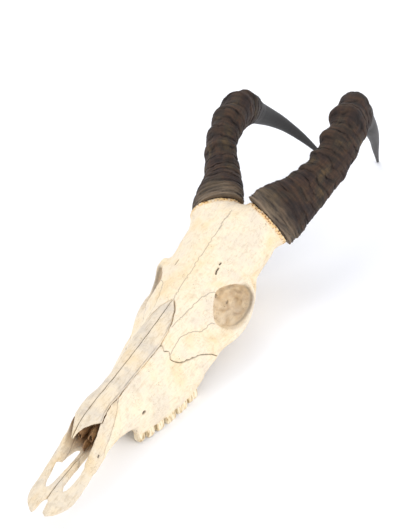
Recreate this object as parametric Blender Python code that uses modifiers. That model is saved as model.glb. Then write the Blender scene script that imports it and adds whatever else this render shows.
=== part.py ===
# Hartebeest skull without its lower jaw, resting on its tooth rows and on both horn tips.
import math
import random

import bmesh
import bpy
from mathutils import Matrix, Vector

# Driving dimensions, all in millimetres.
# x is sideways (+x is the animal's left), y runs from the snout tip towards the horns,
# z is height over the floor, which is also the plane of the worn tooth crowns.
MM = 0.001
SNOUT_TIP_Y = 8.0
HORN_TIP_Y = 782.0
MIDDLE_Y = (SNOUT_TIP_Y + HORN_TIP_Y) / 2
SEAM = 0.3

# Rostrum and forehead: along, top, roof half-width, roof height, wall half-width, wall height,
# widest half-width, widest height, lower half-width, bottom.
FACE_STATIONS = [
    (72, 46, 14.5, 43, 20, 40, 25, 35, 20, 31),
    (88, 56, 15.5, 53, 20, 46, 24, 37, 19, 31),
    (104, 74.5, 15, 66, 19.5, 53, 22.5, 39, 18, 31),
    (125, 76.5, 13.6, 72, 19.5, 58, 23, 41, 18, 30),
    (146, 77.2, 12.6, 69.5, 18.8, 56, 26, 41, 21, 24),
    (162, 77.8, 12, 69.5, 19.5, 55, 29, 39, 25, 14),
    (190, 79.2, 12.8, 71, 21.5, 55, 35.5, 36, 32, 13),
    (225, 82, 15.5, 75.5, 27, 57.5, 43.5, 34, 40, 13),
    (250, 84.6, 14, 81.5, 28.5, 62, 49, 34, 42, 14),
    (275, 87.3, 15, 84.5, 31.5, 65.5, 51, 36, 40, 15),
    (300, 91.5, 19, 87.5, 38.5, 71, 53.5, 40, 38, 18),
    (325, 96.5, 21, 91.5, 36, 83, 50, 62, 40, 22),
    (345, 101.5, 23, 96, 41, 84, 52, 68, 40, 24),
    (365, 104.8, 24, 98.5, 39, 88, 49, 75, 34, 26),
    (395, 110, 27, 104, 42, 92, 52, 77, 29, 28),
    (425, 114.4, 29, 110, 45, 96, 54, 79, 26, 32),
    (440, 113, 27, 110, 43, 97, 48, 80, 24, 42),
    (457, 108, 18, 105, 30, 95, 38, 80, 26, 55),
]

# Front lobe and side band of the premaxilla: along, inner edge (x, z), outer edge (x, z).
PREMAXILLA_LOBE = [(9, 4.4, 30.5, 8.6, 28.5), (13, 3.8, 32, 12.8, 27.6), (20, 2.6, 33, 19.5, 28),
                   (28, 1.2, 33.5, 23, 28.5), (38, 0.2, 34, 25, 28.7), (44, 5, 34, 24, 29)]
PREMAXILLA_BAND = [(34, 10, 34.5, 24.8, 28.5), (48, 13, 35, 25, 29.5), (62, 14.2, 37.5, 25.5, 32.5),
                   (76, 15.6, 44, 24.6, 35), (92, 16.2, 55, 23.6, 38)]
PREMAXILLA_THICKNESS = 4.2
# Bar beside the middle line, and the gap between it and the band: along, middle x, half-width.
PALATE_BAR = [(4.2, 28, 32), (3.4, 46, 33.4), (3.1, 62, 33.2), (2.9, 84, 32.8), (2.8, 108, 33)]
INCISIVE_GAP_HEIGHTS = (18, 46)
INCISIVE_GAP = [(35, 9.8, 0.6), (46, 10, 2.6), (57, 9.9, 3.7), (69, 9.7, 3.7), (80, 9.1, 3.2),
                (89, 8.2, 2.2), (96, 7.4, 0.7)]
# The seam between premaxilla and maxilla, and the one behind the maxilla, seen from the side.
PREMAXILLA_SEAM = [(73, 0), (73, 33), (82, 35.5), (94, 40), (104, 44.5), (113, 50), (124, 57), (136, 64),
                   (147, 70), (147, 120)]
MAXILLA_SEAM = [(279, 0), (278, 30), (270, 38), (262, 42.5), (256, 45.3), (244, 47.6), (232.5, 50),
                (228, 53), (224.5, 58), (227.5, 62), (229, 64.5), (223.5, 67.5), (226, 72), (224, 78),
                (224, 120)]

# Rods of bone: name, corners along the middle line, radius at each corner, width share, on both sides.
BONE_RODS = [
    ("palate_bar", PALATE_BAR, [3.4, 3.2, 3.1, 3, 3], 1.0, True),
    ("alveolar_ridge", [(20, 152, 17), (26, 185, 16), (34, 225, 16), (37, 258, 18)],
     [6, 9, 10, 9], 1.0, True),
    ("zygomatic_arch", [(38, 262, 46), (52, 292, 41), (59, 315, 41), (60, 335, 44), (57, 352, 47),
                        (48, 377, 52), (38, 400, 58)], [9, 8.5, 7, 6, 5.5, 6, 8], 0.6, True),
    ("postorbital_bar", [(46, 356, 80), (58, 352, 66), (58, 345, 47)], [8, 4.5, 4.5], 1.0, True),
    ("pedicle", [(19, 390, 80), (26.5, 422, 85), (33.5, 452, 91.5), (46, 492, 98.5)],
     [17, 24, 31.5, 33.5], 1.0, True),
    ("paroccipital_process", [(27, 410, 48), (26, 416, 30), (24, 420, 17)], [9, 6, 3.5], 1.0, True),
    ("pterygoid_plate", [(14, 255, 24), (14, 290, 24), (13, 330, 30)], [9, 10, 8], 0.45, True),
    ("nuchal_crest", [(-38, 420, 66), (0, 440, 82), (38, 420, 66)], [8, 9, 8], 1.0, False),
    ("skull_base", [(0, 315, 34), (0, 380, 32), (0, 432, 36)], [9, 12, 13], 1.0, False),
]
# Rounded masses: name, centre, radii, on both sides.
BONE_SWELLINGS = [
    ("braincase", (0, 392, 64), (41, 48, 40), False),
    ("condyle", (14, 433, 34), (10, 10, 13), True),
    ("bulla", (24, 392, 26), (8, 14, 11), True),
]
# Rounded hollows, in the same way, and the hole for the spinal cord.
BONE_DIPS = [
    ("temple", (54, 379, 63), (14, 17, 10), True),
    ("under_orbit", (36, 322, 12), (14, 38, 11), True),
    ("throat", (0, 300, 18), (9, 42, 13), False),
    ("palate", (0, 196, 5), (16, 60, 12), False),
]
SPINE_HOLE = [(0, 455, 50), (0, 405, 52)]
SPINE_HOLE_RADII = [11, 8]
# The nose's hollow: along, half-width, floor, ceiling.
NOSE_HOLLOW = [(38, 11, 38.5, 90), (60, 12.5, 38, 90), (78, 13, 36.5, 90), (96, 13, 36.5, 90),
               (103, 12, 37, 74), (110, 11.5, 37, 71), (130, 12, 38, 69), (162, 10, 44, 64)]

# Nasal bones: along, half-width, middle height, edge height.
NASAL_STATIONS = [
    (78, 1.2, 65.5, 65.4), (84, 3, 69, 68.6), (92, 6, 72, 70.5), (99, 9.5, 73.8, 70.1),
    (104, 12.5, 74.7, 69.2), (108, 15.3, 75.3, 67.2), (116, 14.4, 76, 70.4), (128, 13.5, 76.6, 72),
    (146, 12.6, 77.2, 70), (168, 12.1, 78, 70.3), (190, 13, 79.2, 72), (207, 14.4, 80.4, 74.3),
    (224, 15.6, 82, 76.4), (239, 15.2, 83.4, 79), (256, 12.8, 85.2, 82.6), (271, 8.6, 87, 85.8),
    (283, 1.6, 88.3, 88.2),
]
NASAL_THICKNESS = 4.4

# Teeth P2 to M3: length along the row and width across it.
TOOTH_SIZES = [(11, 10), (13, 12.5), (14, 14.5), (18, 17), (20, 18), (20, 17)]
TOOTH_ROW_START = (18.6, 154)
TOOTH_ROW_END = (34.5, 247)
# How far the middle of the row bows outwards.
TOOTH_ROW_BOW = 2.4
CROWN_TOP = 21
TOOTH_GAP = 0.8
TOOTH_SIDES = 12
TOOTH_SQUARENESS = 0.75
TOOTH_GROOVE = 0.86
MOLAR_LENGTH = 15
# Height over the floor and share of the full outline.
TOOTH_RINGS = [(0, 0.93), (1.2, 1.0), (9, 0.97), (CROWN_TOP, 0.86)]
TOOTH_LEAN = 0.03
TOOTH_SEED = 7

# The edge of the eye socket, and where the socket ends inside the head.
ORBIT_RIM = [(41, 298, 70), (36, 318, 83.5), (43.5, 333, 83.5), (51, 346, 78), (60, 351, 68), (63, 347, 58),
             (60.5, 329, 46), (53.5, 308, 46.5), (45, 297, 57)]
ORBIT_BOTTOM = (19, 338, 54)
ORBIT_RIM_THICKNESS = 2.1
ORBIT_RIM_DEPTH = 0.05
ORBIT_WALL = 4.2
# How far in the wall and the socket have their rings, as shares of the way to the socket's bottom.
ORBIT_WALL_DEPTHS = (0.04, 0.3, 0.6, 0.85, 1.05)
SOCKET_DEPTHS = (-0.5, 0, 0.3, 0.6, 0.85, 1)
ORBIT_TAPER = 0.2
ORBIT_ROUNDING = 0.62

# Horns: the middle line of each, with x counted away from the middle, and the radius along it.
HORN_BASE = (33.5, 454.5, 92)
LEFT_HORN_PATH = [(53.5, 502, 102.5), (71, 543, 121.5), (76, 589, 142.5), (71, 636, 146),
                  (71.5, 676, 111), (64.5, 712, 75), (54, 746, 38), (44.5, 779.5, 1.2)]
RIGHT_HORN_PATH = [(48.5, 501, 103.5), (68, 542, 128.5), (73, 587, 142), (80.5, 634, 130),
                   (77, 675, 104.5), (67, 713, 74.5), (54.5, 747, 39), (44, 779.5, 1.2)]
HORN_RADII = [(-44, 26), (-16, 31.4), (0, 35.2), (14, 35.2), (30, 32.2), (50, 27), (80, 22.6), (120, 22.2),
              (160, 22.2), (200, 21.8), (216, 18.6), (235, 14.4), (270, 11.1), (310, 8), (350, 5.8),
              (390, 3.4), (425, 1.8)]
HORN_BASE_AXIS = (0.30, 0.94, 0.17)
HORN_DEPTH_SHARE = 1.07
HORN_WIDTH_SHARE = 0.84
HORN_TWIST = math.radians(-22)
# The horn ends on a slanting plane through its base, further forward above and at the outer side.
HORN_EDGE_AXIS = (0.52, 0.72, 0.467)
HORN_EDGE_REACH = 44
# Rings on each horn: distance along it, height, and the direction in degrees around it where it is highest.
LEFT_HORN_RINGS = [(10, 0.9, 90), (22, 0.9, 90), (35, 1.2, 95), (49, 1.5, 110), (63, 2.2, 130),
                   (79, 3.0, 145), (103, 4.4, 150), (133, 6.2, 145), (169, 7.6, 135), (199, 6, 120),
                   (221, 1.6, 90)]
RIGHT_HORN_RINGS = [(10, 0.9, 90), (22, 0.9, 90), (37, 1.2, 85), (54, 1.4, 80), (72, 1.8, 70), (91, 2.2, 60),
                    (112, 3.2, 50), (136, 6.4, 45), (166, 7, 60), (192, 4.6, 70), (212, 2, 80)]
HORN_SIDES = 18
HORN_STEPS = 8
# How far a ring reaches along the horn: in millimetres, and more for each millimetre of its height.
RING_REACH = 4.2
RING_REACH_GROWTH = 0.7
# A ring's height on the side away from its direction, and how evenly it falls off towards there.
RING_BACK_SHARE = 0.25
RING_FALL = 0.6
# Over this length the sections turn from the base's direction to the path's.
HORN_BASE_BLEND = 40
# Size of the cutter that makes room for the horn's base.
HORN_CUT_LENGTH = 70
HORN_CUT_RADIUS = 60
HORN_CUT_SIDES = 32

# Outlines that part the bones reach past the bone by these.
REGION_HALF_WIDTH = 95
REGION_FRONT = [(-30, -20), (-30, 120)]

BONE_COLOUR = (0.80, 0.70, 0.52)
BONE_ROUGHNESS = 0.6
HORN_COLOUR = (0.05, 0.035, 0.03)
HORN_ROUGHNESS = 0.55

# How fine the shapes are.
BONE_VOXEL = 1.9
BONE_TRIANGLES = 7600
LOOP_STEPS = 4
PATH_STEPS = 5
ROD_SIDES = 18
RIM_SIDES = 8


def point(x, y, z):
    """A place in millimetres as a vector in metres in the part's own frame."""
    return Vector((x, y - MIDDLE_Y, z)) * MM


def new_collection(name):
    made = bpy.data.collections.new(name)
    bpy.context.scene.collection.children.link(made)
    return made


def clear(group):
    """Removes every object of a scene or collection, and the group itself if it is a collection."""
    for thing in list(group.objects):
        bpy.data.objects.remove(thing, do_unlink=True)
    if isinstance(group, bpy.types.Collection):
        bpy.data.collections.remove(group)


def object_from_bmesh(bm, name, collection):
    bmesh.ops.recalc_face_normals(bm, faces=bm.faces)
    mesh = bpy.data.meshes.new(name)
    bm.to_mesh(mesh)
    bm.free()
    made = bpy.data.objects.new(name, mesh)
    collection.objects.link(made)
    return made


def smooth_loop(corners, steps):
    """Points on a closed Catmull-Rom curve through the corners."""
    count = len(corners)
    result = []
    for index in range(count):
        a, b, c, d = (corners[(index + shift) % count] for shift in (-1, 0, 1, 2))
        for step in range(steps):
            t = step / steps
            result.append(0.5 * (2 * b + (c - a) * t + (2 * a - 5 * b + 4 * c - d) * t * t
                                 + (3 * b - a - 3 * c + d) * t * t * t))
    return result


def smooth_path(corners, steps):
    """Points on an open Catmull-Rom curve through the corners."""
    padded = [2 * corners[0] - corners[1]] + list(corners) + [2 * corners[-1] - corners[-2]]
    result = []
    for index in range(1, len(padded) - 2):
        a, b, c, d = padded[index - 1:index + 3]
        for step in range(steps):
            t = step / steps
            result.append(0.5 * (2 * b + (c - a) * t + (2 * a - 5 * b + 4 * c - d) * t * t
                                 + (3 * b - a - 3 * c + d) * t * t * t))
    result.append(corners[-1])
    return result


def loft(name, rings, collection):
    """A closed skin over rings that all have the same number of points."""
    bm = bmesh.new()
    rows = [[bm.verts.new(place) for place in ring] for ring in rings]
    for lower, upper in zip(rows, rows[1:]):
        for index in range(len(lower)):
            following = (index + 1) % len(lower)
            bm.faces.new((lower[index], lower[following], upper[following], upper[index]))
    bm.faces.new(rows[0])
    bm.faces.new(rows[-1])
    return object_from_bmesh(bm, name, collection)


def ellipsoid(name, centre, radii, collection):
    bm = bmesh.new()
    bmesh.ops.create_uvsphere(bm, u_segments=24, v_segments=16, radius=1.0)
    bmesh.ops.scale(bm, vec=Vector(radii) * MM, verts=bm.verts)
    bmesh.ops.translate(bm, vec=point(*centre), verts=bm.verts)
    return object_from_bmesh(bm, name, collection)


def angles_around(sides):
    return [2 * math.pi * k / sides for k in range(sides)]


def tapered_rod(name, corners, radii, collection, width_share=1.0):
    """A rod along corners, with its radius at each corner and its width flattened."""
    path = smooth_path([point(*corner) for corner in corners], PATH_STEPS)
    rings = []
    for index, place in enumerate(path):
        before = path[max(index - 1, 0)]
        after = path[min(index + 1, len(path) - 1)]
        along = (after - before).normalized()
        side = along.cross(Vector((0, 0, 1))).normalized()
        rise = side.cross(along).normalized()
        share = index / (len(path) - 1) * (len(radii) - 1)
        low = min(int(share), len(radii) - 2)
        radius = (radii[low] + (radii[low + 1] - radii[low]) * (share - low)) * MM
        rings.append([place + side * radius * width_share * math.cos(angle) + rise * radius * math.sin(angle)
                      for angle in angles_around(ROD_SIDES)])
    return loft(name, rings, collection)


def flip(thing):
    """Moves a thing to the other side of the middle plane."""
    thing.data.transform(Matrix.Scale(-1, 4, Vector((1, 0, 0))))
    thing.data.flip_normals()
    return thing


def mirrored(thing, name, collection):
    copy = bpy.data.objects.new(name, thing.data.copy())
    collection.objects.link(copy)
    return flip(copy)


def face_section(along, top, roof, roof_z, wall, wall_z, wide, wide_z, low, bottom):
    """One cross-section of the face and braincase, rounded through the corners of its table row."""
    half = [(0, top), (roof * 0.55, top - 0.3 * (top - roof_z)), (roof, roof_z), (wall, wall_z),
            (wide, wide_z), ((wide + low) / 2 + 1.5, (wide_z + bottom) / 2 - 2), (low, bottom + 2),
            (low * 0.5, bottom)]
    corners = [point(x, along, z) for x, z in half]
    corners.append(point(0, along, bottom))
    corners += [point(-x, along, z) for x, z in reversed(half[1:])]
    return smooth_loop(corners, 3)


def premaxilla_section(along, inner_x, inner_z, outer_x, outer_z):
    """A flat, rounded cross-section between an inner and an outer edge."""
    inner = point(inner_x, along, inner_z)
    outer = point(outer_x, along, outer_z)
    across = (outer - inner).normalized()
    through = Vector((-across.z, 0, across.x)) * PREMAXILLA_THICKNESS * MM / 2
    corners = [inner + through * 0.8, (inner + outer) / 2 + through * 1.2, outer + through * 0.7,
               outer - through, (inner + outer) / 2 - through * 1.1, inner - through * 0.8]
    return smooth_loop(corners, 3)


def both_sides(thing, collection):
    return [thing, mirrored(thing, thing.name + "_mirror", collection)]


def orbit_loop(share, wall=0.0):
    """The socket's edge, moved a share of the way to its bottom, narrowed, and widened by a wall."""
    corners = [Vector(corner) for corner in ORBIT_RIM]
    middle = sum(corners, Vector()) / len(corners)
    bottom = Vector(ORBIT_BOTTOM)
    narrow = 1 - ORBIT_TAPER * share - ORBIT_ROUNDING * max(0.0, share) ** 3
    moved = [middle + (bottom - middle) * share + (corner - middle) * narrow
             + (corner - middle).normalized() * wall for corner in corners]
    return [point(*place) for place in smooth_loop(moved, LOOP_STEPS)]


def orbit_rim(collection):
    """A slim raised edge around the socket."""
    loop = orbit_loop(ORBIT_RIM_DEPTH)
    middle = sum(loop, Vector()) / len(loop)
    rings = []
    for index, place in enumerate(loop):
        along = (loop[(index + 1) % len(loop)] - loop[index - 1]).normalized()
        outward = (place - middle).normalized()
        lift = along.cross(outward).normalized()
        centre = place + outward * ORBIT_RIM_THICKNESS * 0.8 * MM
        rings.append([centre + (outward * math.cos(angle) + lift * math.sin(angle)) * ORBIT_RIM_THICKNESS * MM
                      for angle in angles_around(RIM_SIDES)])
    bm = bmesh.new()
    rows = [[bm.verts.new(place) for place in ring] for ring in rings]
    for here, following in zip(rows, rows[1:] + rows[:1]):
        for k in range(RIM_SIDES):
            after = (k + 1) % RIM_SIDES
            bm.faces.new((here[k], following[k], following[after], here[after]))
    return object_from_bmesh(bm, "orbit_rim", collection)


def rods_and_swellings(rods, swellings, collection):
    """Makes every rod and rounded form of two tables, mirrored where the table says so."""
    made = []
    for name, corners, radii, width_share, paired in rods:
        rod = tapered_rod(name, corners, radii, collection, width_share)
        made += both_sides(rod, collection) if paired else [rod]
    for name, centre, radii, paired in swellings:
        swelling = ellipsoid(name, centre, radii, collection)
        made += both_sides(swelling, collection) if paired else [swelling]
    return made


def bone_masses(shapes):
    """The overlapping rough masses that the bone is fused from."""
    made = [loft("face_mass", [face_section(*row) for row in FACE_STATIONS], shapes)]
    for rows in (PREMAXILLA_LOBE, PREMAXILLA_BAND):
        plate = loft("premaxilla_mass", [premaxilla_section(*row) for row in rows], shapes)
        made += both_sides(plate, shapes)
    made += both_sides(orbit_rim(shapes), shapes)
    walls = [orbit_loop(share, ORBIT_WALL) for share in ORBIT_WALL_DEPTHS]
    made += both_sides(loft("orbit_wall", walls, shapes), shapes)
    return made + rods_and_swellings(BONE_RODS, BONE_SWELLINGS, shapes)


def nose_section(along, half, low, high):
    """One cross-section of the nose's hollow, wider at half height."""
    middle = low + (high - low) * 0.45
    corners = [(-half, high), (-half - 2, middle), (-half + 1, low), (0, low - 0.5), (half - 1, low),
               (half + 2, middle), (half, high)]
    return smooth_loop([point(x, along, z) for x, z in corners], 2)


def slot_section(along, middle, half):
    """One cross-section of the open gap in the front of the palate."""
    low, high = INCISIVE_GAP_HEIGHTS
    corners = [(middle - half, low), (middle + half, low), (middle + half, high), (middle - half, high)]
    return [point(x, along, z) for x, z in corners]


def bone_hollows(cutters):
    """The openings that show: nose, incisive gaps, eye sockets, temples, throat and brain hole."""
    made = [loft("nose_cutter", [nose_section(*row) for row in NOSE_HOLLOW], cutters)]
    gap = loft("incisive_cutter", [slot_section(*row) for row in INCISIVE_GAP], cutters)
    socket = loft("socket_cutter", [orbit_loop(share) for share in SOCKET_DEPTHS], cutters)
    made += both_sides(gap, cutters) + both_sides(socket, cutters)
    made.append(tapered_rod("spine_hole", SPINE_HOLE, SPINE_HOLE_RADII, cutters))
    return made + rods_and_swellings([], BONE_DIPS, cutters)


def joined(things, name, collection):
    """One object that holds the meshes of several, which may overlap."""
    bm = bmesh.new()
    for thing in things:
        bm.from_mesh(thing.data)
    for thing in things:
        bpy.data.objects.remove(thing, do_unlink=True)
    mesh = bpy.data.meshes.new(name)
    bm.to_mesh(mesh)
    bm.free()
    made = bpy.data.objects.new(name, mesh)
    collection.objects.link(made)
    return made


def bake(thing):
    """Replaces the mesh with its evaluated one and drops the modifiers."""
    graph = bpy.context.evaluated_depsgraph_get()
    mesh = bpy.data.meshes.new_from_object(thing.evaluated_get(graph))
    thing.modifiers.clear()
    thing.data = mesh
    return thing


def remesh(thing, voxel, relax):
    skin = thing.modifiers.new("skin", "REMESH")
    skin.mode = "VOXEL"
    skin.voxel_size = voxel * MM
    soften = thing.modifiers.new("soften", "SMOOTH")
    soften.factor = 0.5
    soften.iterations = relax
    return bake(thing)


def combine(thing, other, operation, solver="EXACT"):
    cut = thing.modifiers.new(operation.lower(), "BOOLEAN")
    cut.operation = operation
    cut.object = other
    cut.solver = solver
    return bake(thing)


def keep_largest(thing):
    """Keeps only the closed surface with the most volume."""
    bm = bmesh.new()
    bm.from_mesh(thing.data)
    bmesh.ops.remove_doubles(bm, verts=bm.verts, dist=0.00001)
    bmesh.ops.dissolve_degenerate(bm, edges=bm.edges, dist=0.00001)
    bmesh.ops.triangulate(bm, faces=bm.faces)
    shells = []
    waiting = set(bm.faces)
    while waiting:
        stack = [waiting.pop()]
        shell = []
        while stack:
            face = stack.pop()
            shell.append(face)
            for edge in face.edges:
                for other in edge.link_faces:
                    if other in waiting:
                        waiting.discard(other)
                        stack.append(other)
        volume = sum(face.verts[0].co.dot(face.verts[1].co.cross(face.verts[2].co)) for face in shell)
        shells.append((abs(volume), shell))
    shells.sort(key=lambda pair: pair[0])
    for _, shell in shells[:-1]:
        bmesh.ops.delete(bm, geom=shell, context="FACES")
    loose = [vert for vert in bm.verts if not vert.link_faces]
    bmesh.ops.delete(bm, geom=loose, context="VERTS")
    bm.to_mesh(thing.data)
    bm.free()
    return thing


def thin_out(thing, triangles):
    bm = bmesh.new()
    bm.from_mesh(thing.data)
    bmesh.ops.triangulate(bm, faces=bm.faces)
    bm.to_mesh(thing.data)
    bm.free()
    coarse = thing.modifiers.new("coarse", "DECIMATE")
    coarse.ratio = min(1.0, triangles / len(thing.data.polygons))
    return bake(thing)


def bone_blank(shapes):
    blank = joined(bone_masses(shapes), "bone_blank", shapes)
    remesh(blank, BONE_VOXEL, 3)
    hollow = joined(bone_hollows(shapes), "bone_hollows", shapes)
    remesh(hollow, BONE_VOXEL, 1)
    combine(blank, hollow, "DIFFERENCE", "MANIFOLD")
    bpy.data.objects.remove(hollow, do_unlink=True)
    remesh(blank, BONE_VOXEL, 5)
    keep_largest(blank)
    return thin_out(blank, BONE_TRIANGLES)


def between(rows, place, column):
    """The value of one column of rows at a place along them, read in straight lines."""
    for low, high in zip(rows, rows[1:]):
        if place <= high[0]:
            share = (place - low[0]) / (high[0] - low[0])
            return low[column] + (high[column] - low[column]) * share
    return rows[-1][column]


def nasal_section(row, inner_x, grow):
    """A nasal bone's cross-section; grow widens it on every side for the cutter."""
    along, half, middle_z, edge_z = row
    thickness = min(NASAL_THICKNESS, 1.8 + (along - NASAL_STATIONS[0][0]) * 0.09)
    outer = half + grow
    drop = (middle_z - edge_z)
    shares = (0, 0.35, 0.7, 1)
    lift = grow * 12
    upper = [(inner_x + (outer - inner_x) * share, middle_z - drop * share ** 2 + lift) for share in shares]
    lower = [(x, z - lift - thickness - 2 * grow) for x, z in reversed(upper)]
    return [point(x, along, z) for x, z in upper + lower]


def nasal_bone(name, collection):
    rings = [nasal_section(row, SEAM / 2, 0) for row in NASAL_STATIONS]
    return loft(name, rings, collection)


def nasal_cutter(cutters):
    gap = SEAM * 1.4
    rings = [nasal_section(row, -SEAM, gap) for row in NASAL_STATIONS]
    first = [place + Vector((0, -gap * MM, 0)) for place in rings[0]]
    last = [place + Vector((0, gap * MM, 0)) for place in rings[-1]]
    return loft("nasal_cutter", [first] + rings[1:-1] + [last], cutters)


def side_prism(name, outline, inner_x, outer_x, collection):
    """An outline drawn from the side, made solid between two distances from the middle."""
    rings = [[point(x, y, z) for y, z in outline] for x in (inner_x, outer_x)]
    return loft(name, rings, collection)


def region_outline(front, back, grow):
    """A closed outline between two seams, each moved outwards by grow."""
    return [(y - grow, z) for y, z in front] + [(y + grow, z) for y, z in reversed(back)]


def take(blank, name, outline, inner_x, outer_x, parts, shapes):
    """A copy of the part of the blank that lies inside the outline."""
    piece = bpy.data.objects.new(name, blank.data.copy())
    parts.objects.link(piece)
    region = side_prism("region", outline, inner_x, outer_x, shapes)
    combine(piece, region, "INTERSECT")
    bpy.data.objects.remove(region, do_unlink=True)
    return keep_largest(piece)


def drop(blank, cutter):
    combine(blank, cutter, "DIFFERENCE")
    bpy.data.objects.remove(cutter, do_unlink=True)


def horn_base_cutter(cutters):
    """Everything beyond the plane on which the horn sits."""
    axis = Vector(HORN_EDGE_AXIS).normalized()
    turn = axis.to_track_quat("Z", "Y")
    start = Vector(HORN_BASE) - axis * SEAM / 2
    rings = []
    for reach in (0, HORN_CUT_LENGTH):
        circle = [Vector((math.cos(angle), math.sin(angle), 0)) * HORN_CUT_RADIUS
                  for angle in angles_around(HORN_CUT_SIDES)]
        rings.append([point(*(start + axis * reach + turn @ corner)) for corner in circle])
    return loft("horn_base_cutter", rings, cutters)


def ring_height(reach, angle, horn_rings):
    """How far the rings stand out at a distance along the horn and an angle around it."""
    height = 0.0
    for place, rise, front in horn_rings:
        facing = max(0.0, math.cos(angle - math.radians(front))) ** RING_FALL
        share = RING_BACK_SHARE + (1 - RING_BACK_SHARE) * facing
        spread = RING_REACH + rise * RING_REACH_GROWTH
        height += rise * share * math.exp(-((reach - place) / spread) ** 2)
    return height


def horn_section(place, along, reach, horn_rings):
    """The horn's outline around one place on its path: an ellipse that is thickened by the rings."""
    side = along.cross(Vector((0, 0, 1))).normalized()
    rise = side.cross(along).normalized()
    ring = []
    for angle in angles_around(HORN_SIDES):
        around = angle + HORN_TWIST
        stretch = math.hypot(HORN_WIDTH_SHARE * math.cos(around), HORN_DEPTH_SHARE * math.sin(around))
        size = (between(HORN_RADII, reach, 1) + ring_height(reach, angle, horn_rings)) * stretch
        ring.append(place + (side * math.cos(angle) + rise * math.sin(angle)) * size)
    return ring


def horn(name, corners, horn_rings, parts):
    """A ringed horn along its path, cut at a slant at its base and flat where its tip rests."""
    base_axis = Vector(HORN_BASE_AXIS).normalized()
    base = Vector(HORN_BASE)
    rings = []
    for reach in (-HORN_EDGE_REACH, -HORN_EDGE_REACH / 2):
        rings.append(horn_section(base + base_axis * reach, base_axis, reach, horn_rings))
    path = smooth_path([base] + [Vector(corner) for corner in corners], HORN_STEPS)
    reach = 0.0
    for index, place in enumerate(path):
        if index:
            reach += (place - path[index - 1]).length
        along = (path[min(index + 1, len(path) - 1)] - path[max(index - 1, 0)]).normalized()
        blend = min(1.0, reach / HORN_BASE_BLEND)
        along = (base_axis * (1 - blend) + along * blend).normalized()
        rings.append(horn_section(place, along, reach, horn_rings))
    made = loft(name, [[point(*corner) for corner in ring] for ring in rings], parts)
    edge_axis = Vector(HORN_EDGE_AXIS).normalized()
    cut_off(made, point(*(base + edge_axis * SEAM / 2)), -edge_axis)
    cut_off(made, point(0, MIDDLE_Y, 0), Vector((0, 0, -1)))
    return made


def cut_off(thing, place, outward):
    """Cuts off what lies beyond a plane, on the side that outward points to, and closes the cut."""
    bm = bmesh.new()
    bm.from_mesh(thing.data)
    everything = list(bm.verts) + list(bm.edges) + list(bm.faces)
    cut = bmesh.ops.bisect_plane(bm, geom=everything, plane_co=place, plane_no=outward, clear_outer=True)
    edges = [item for item in cut["geom_cut"] if isinstance(item, bmesh.types.BMEdge)]
    bmesh.ops.holes_fill(bm, edges=edges)
    bmesh.ops.recalc_face_normals(bm, faces=bm.faces)
    bm.to_mesh(thing.data)
    bm.free()


def tooth_outline(length, width):
    """A rounded block, with a groove on both long sides of the larger teeth."""
    outline = []
    for k, angle in enumerate(angles_around(TOOTH_SIDES)):
        square = 1 / max(abs(math.cos(angle)), abs(math.sin(angle))) ** TOOTH_SQUARENESS
        groove = TOOTH_GROOVE if k in (0, TOOTH_SIDES // 2) and length > MOLAR_LENGTH else 1.0
        outline.append(Vector((width * math.cos(angle) * groove, length * math.sin(angle), 0)) * square / 2)
    return outline


def tooth(middle, turn, outline, lean, shapes):
    """A worn cheek tooth with a flat crown underneath, leaning a little to one side."""
    rings = []
    for z, share in TOOTH_RINGS:
        places = [Matrix.Rotation(turn, 3, "Z") @ (corner * share + Vector((lean * z, 0, 0)))
                  for corner in outline]
        rings.append([point(middle.x + place.x, middle.y + place.y, z) for place in places])
    return loft("tooth", rings, shapes)


def tooth_row(side, row):
    """The six cheek teeth of one side, in a collection of their own."""
    random_source = random.Random(TOOTH_SEED)
    start, end = Vector(TOOTH_ROW_START), Vector(TOOTH_ROW_END)
    run = (end - start).normalized()
    total = sum(length for length, _ in TOOTH_SIZES) + TOOTH_GAP * (len(TOOTH_SIZES) - 1)
    scale = (end - start).length / total
    reach = 0.0
    for length, width in TOOTH_SIZES:
        share = (reach + length * scale / 2) / (end - start).length
        bow = Vector((run.y, -run.x)) * TOOTH_ROW_BOW * 4 * share * (1 - share)
        middle = start.lerp(end, share) + bow
        reach += (length + TOOTH_GAP) * scale
        lean = random_source.uniform(-TOOTH_LEAN, TOOTH_LEAN)
        made = tooth(middle, -math.atan2(run.x, run.y), tooth_outline(length * scale, width), lean, row)
        if side < 0:
            flip(made)


def add_teeth(maxilla, side, shapes):
    """Fuses the row of cheek teeth into the upper jaw."""
    row = bpy.data.collections.new("tooth_row")
    shapes.children.link(row)
    tooth_row(side, row)
    fuse = maxilla.modifiers.new("teeth", "BOOLEAN")
    fuse.operation = "UNION"
    fuse.operand_type = "COLLECTION"
    fuse.collection = row
    bake(maxilla)
    clear(row)
    return keep_largest(maxilla)


def material(name, colour, roughness):
    made = bpy.data.materials.new(name)
    made.use_nodes = True
    shader = made.node_tree.nodes["Principled BSDF"]
    shader.inputs["Base Color"].default_value = (*colour, 1)
    shader.inputs["Roughness"].default_value = roughness
    shader.inputs["Metallic"].default_value = 0.0
    return made


def make_side(blank, side, word, horn_path, horn_rings, parts, shapes):
    """The premaxilla, the maxilla with its teeth, the nasal bone and the horn of one side."""
    inner, outer = sorted((side * SEAM / 2, side * REGION_HALF_WIDTH))
    front = REGION_FRONT + list(reversed(PREMAXILLA_SEAM))
    take(blank, "premaxilla_" + word, front, inner, outer, parts, shapes)
    middle = region_outline(PREMAXILLA_SEAM, MAXILLA_SEAM, -SEAM / 2)
    maxilla = take(blank, "maxilla_" + word, middle, inner, outer, parts, shapes)
    add_teeth(maxilla, side, shapes)
    outer_pieces = [horn("horn_" + word, horn_path, horn_rings, parts), nasal_bone("nasal_" + word, parts)]
    if side < 0:
        for thing in outer_pieces:
            flip(thing)


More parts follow.
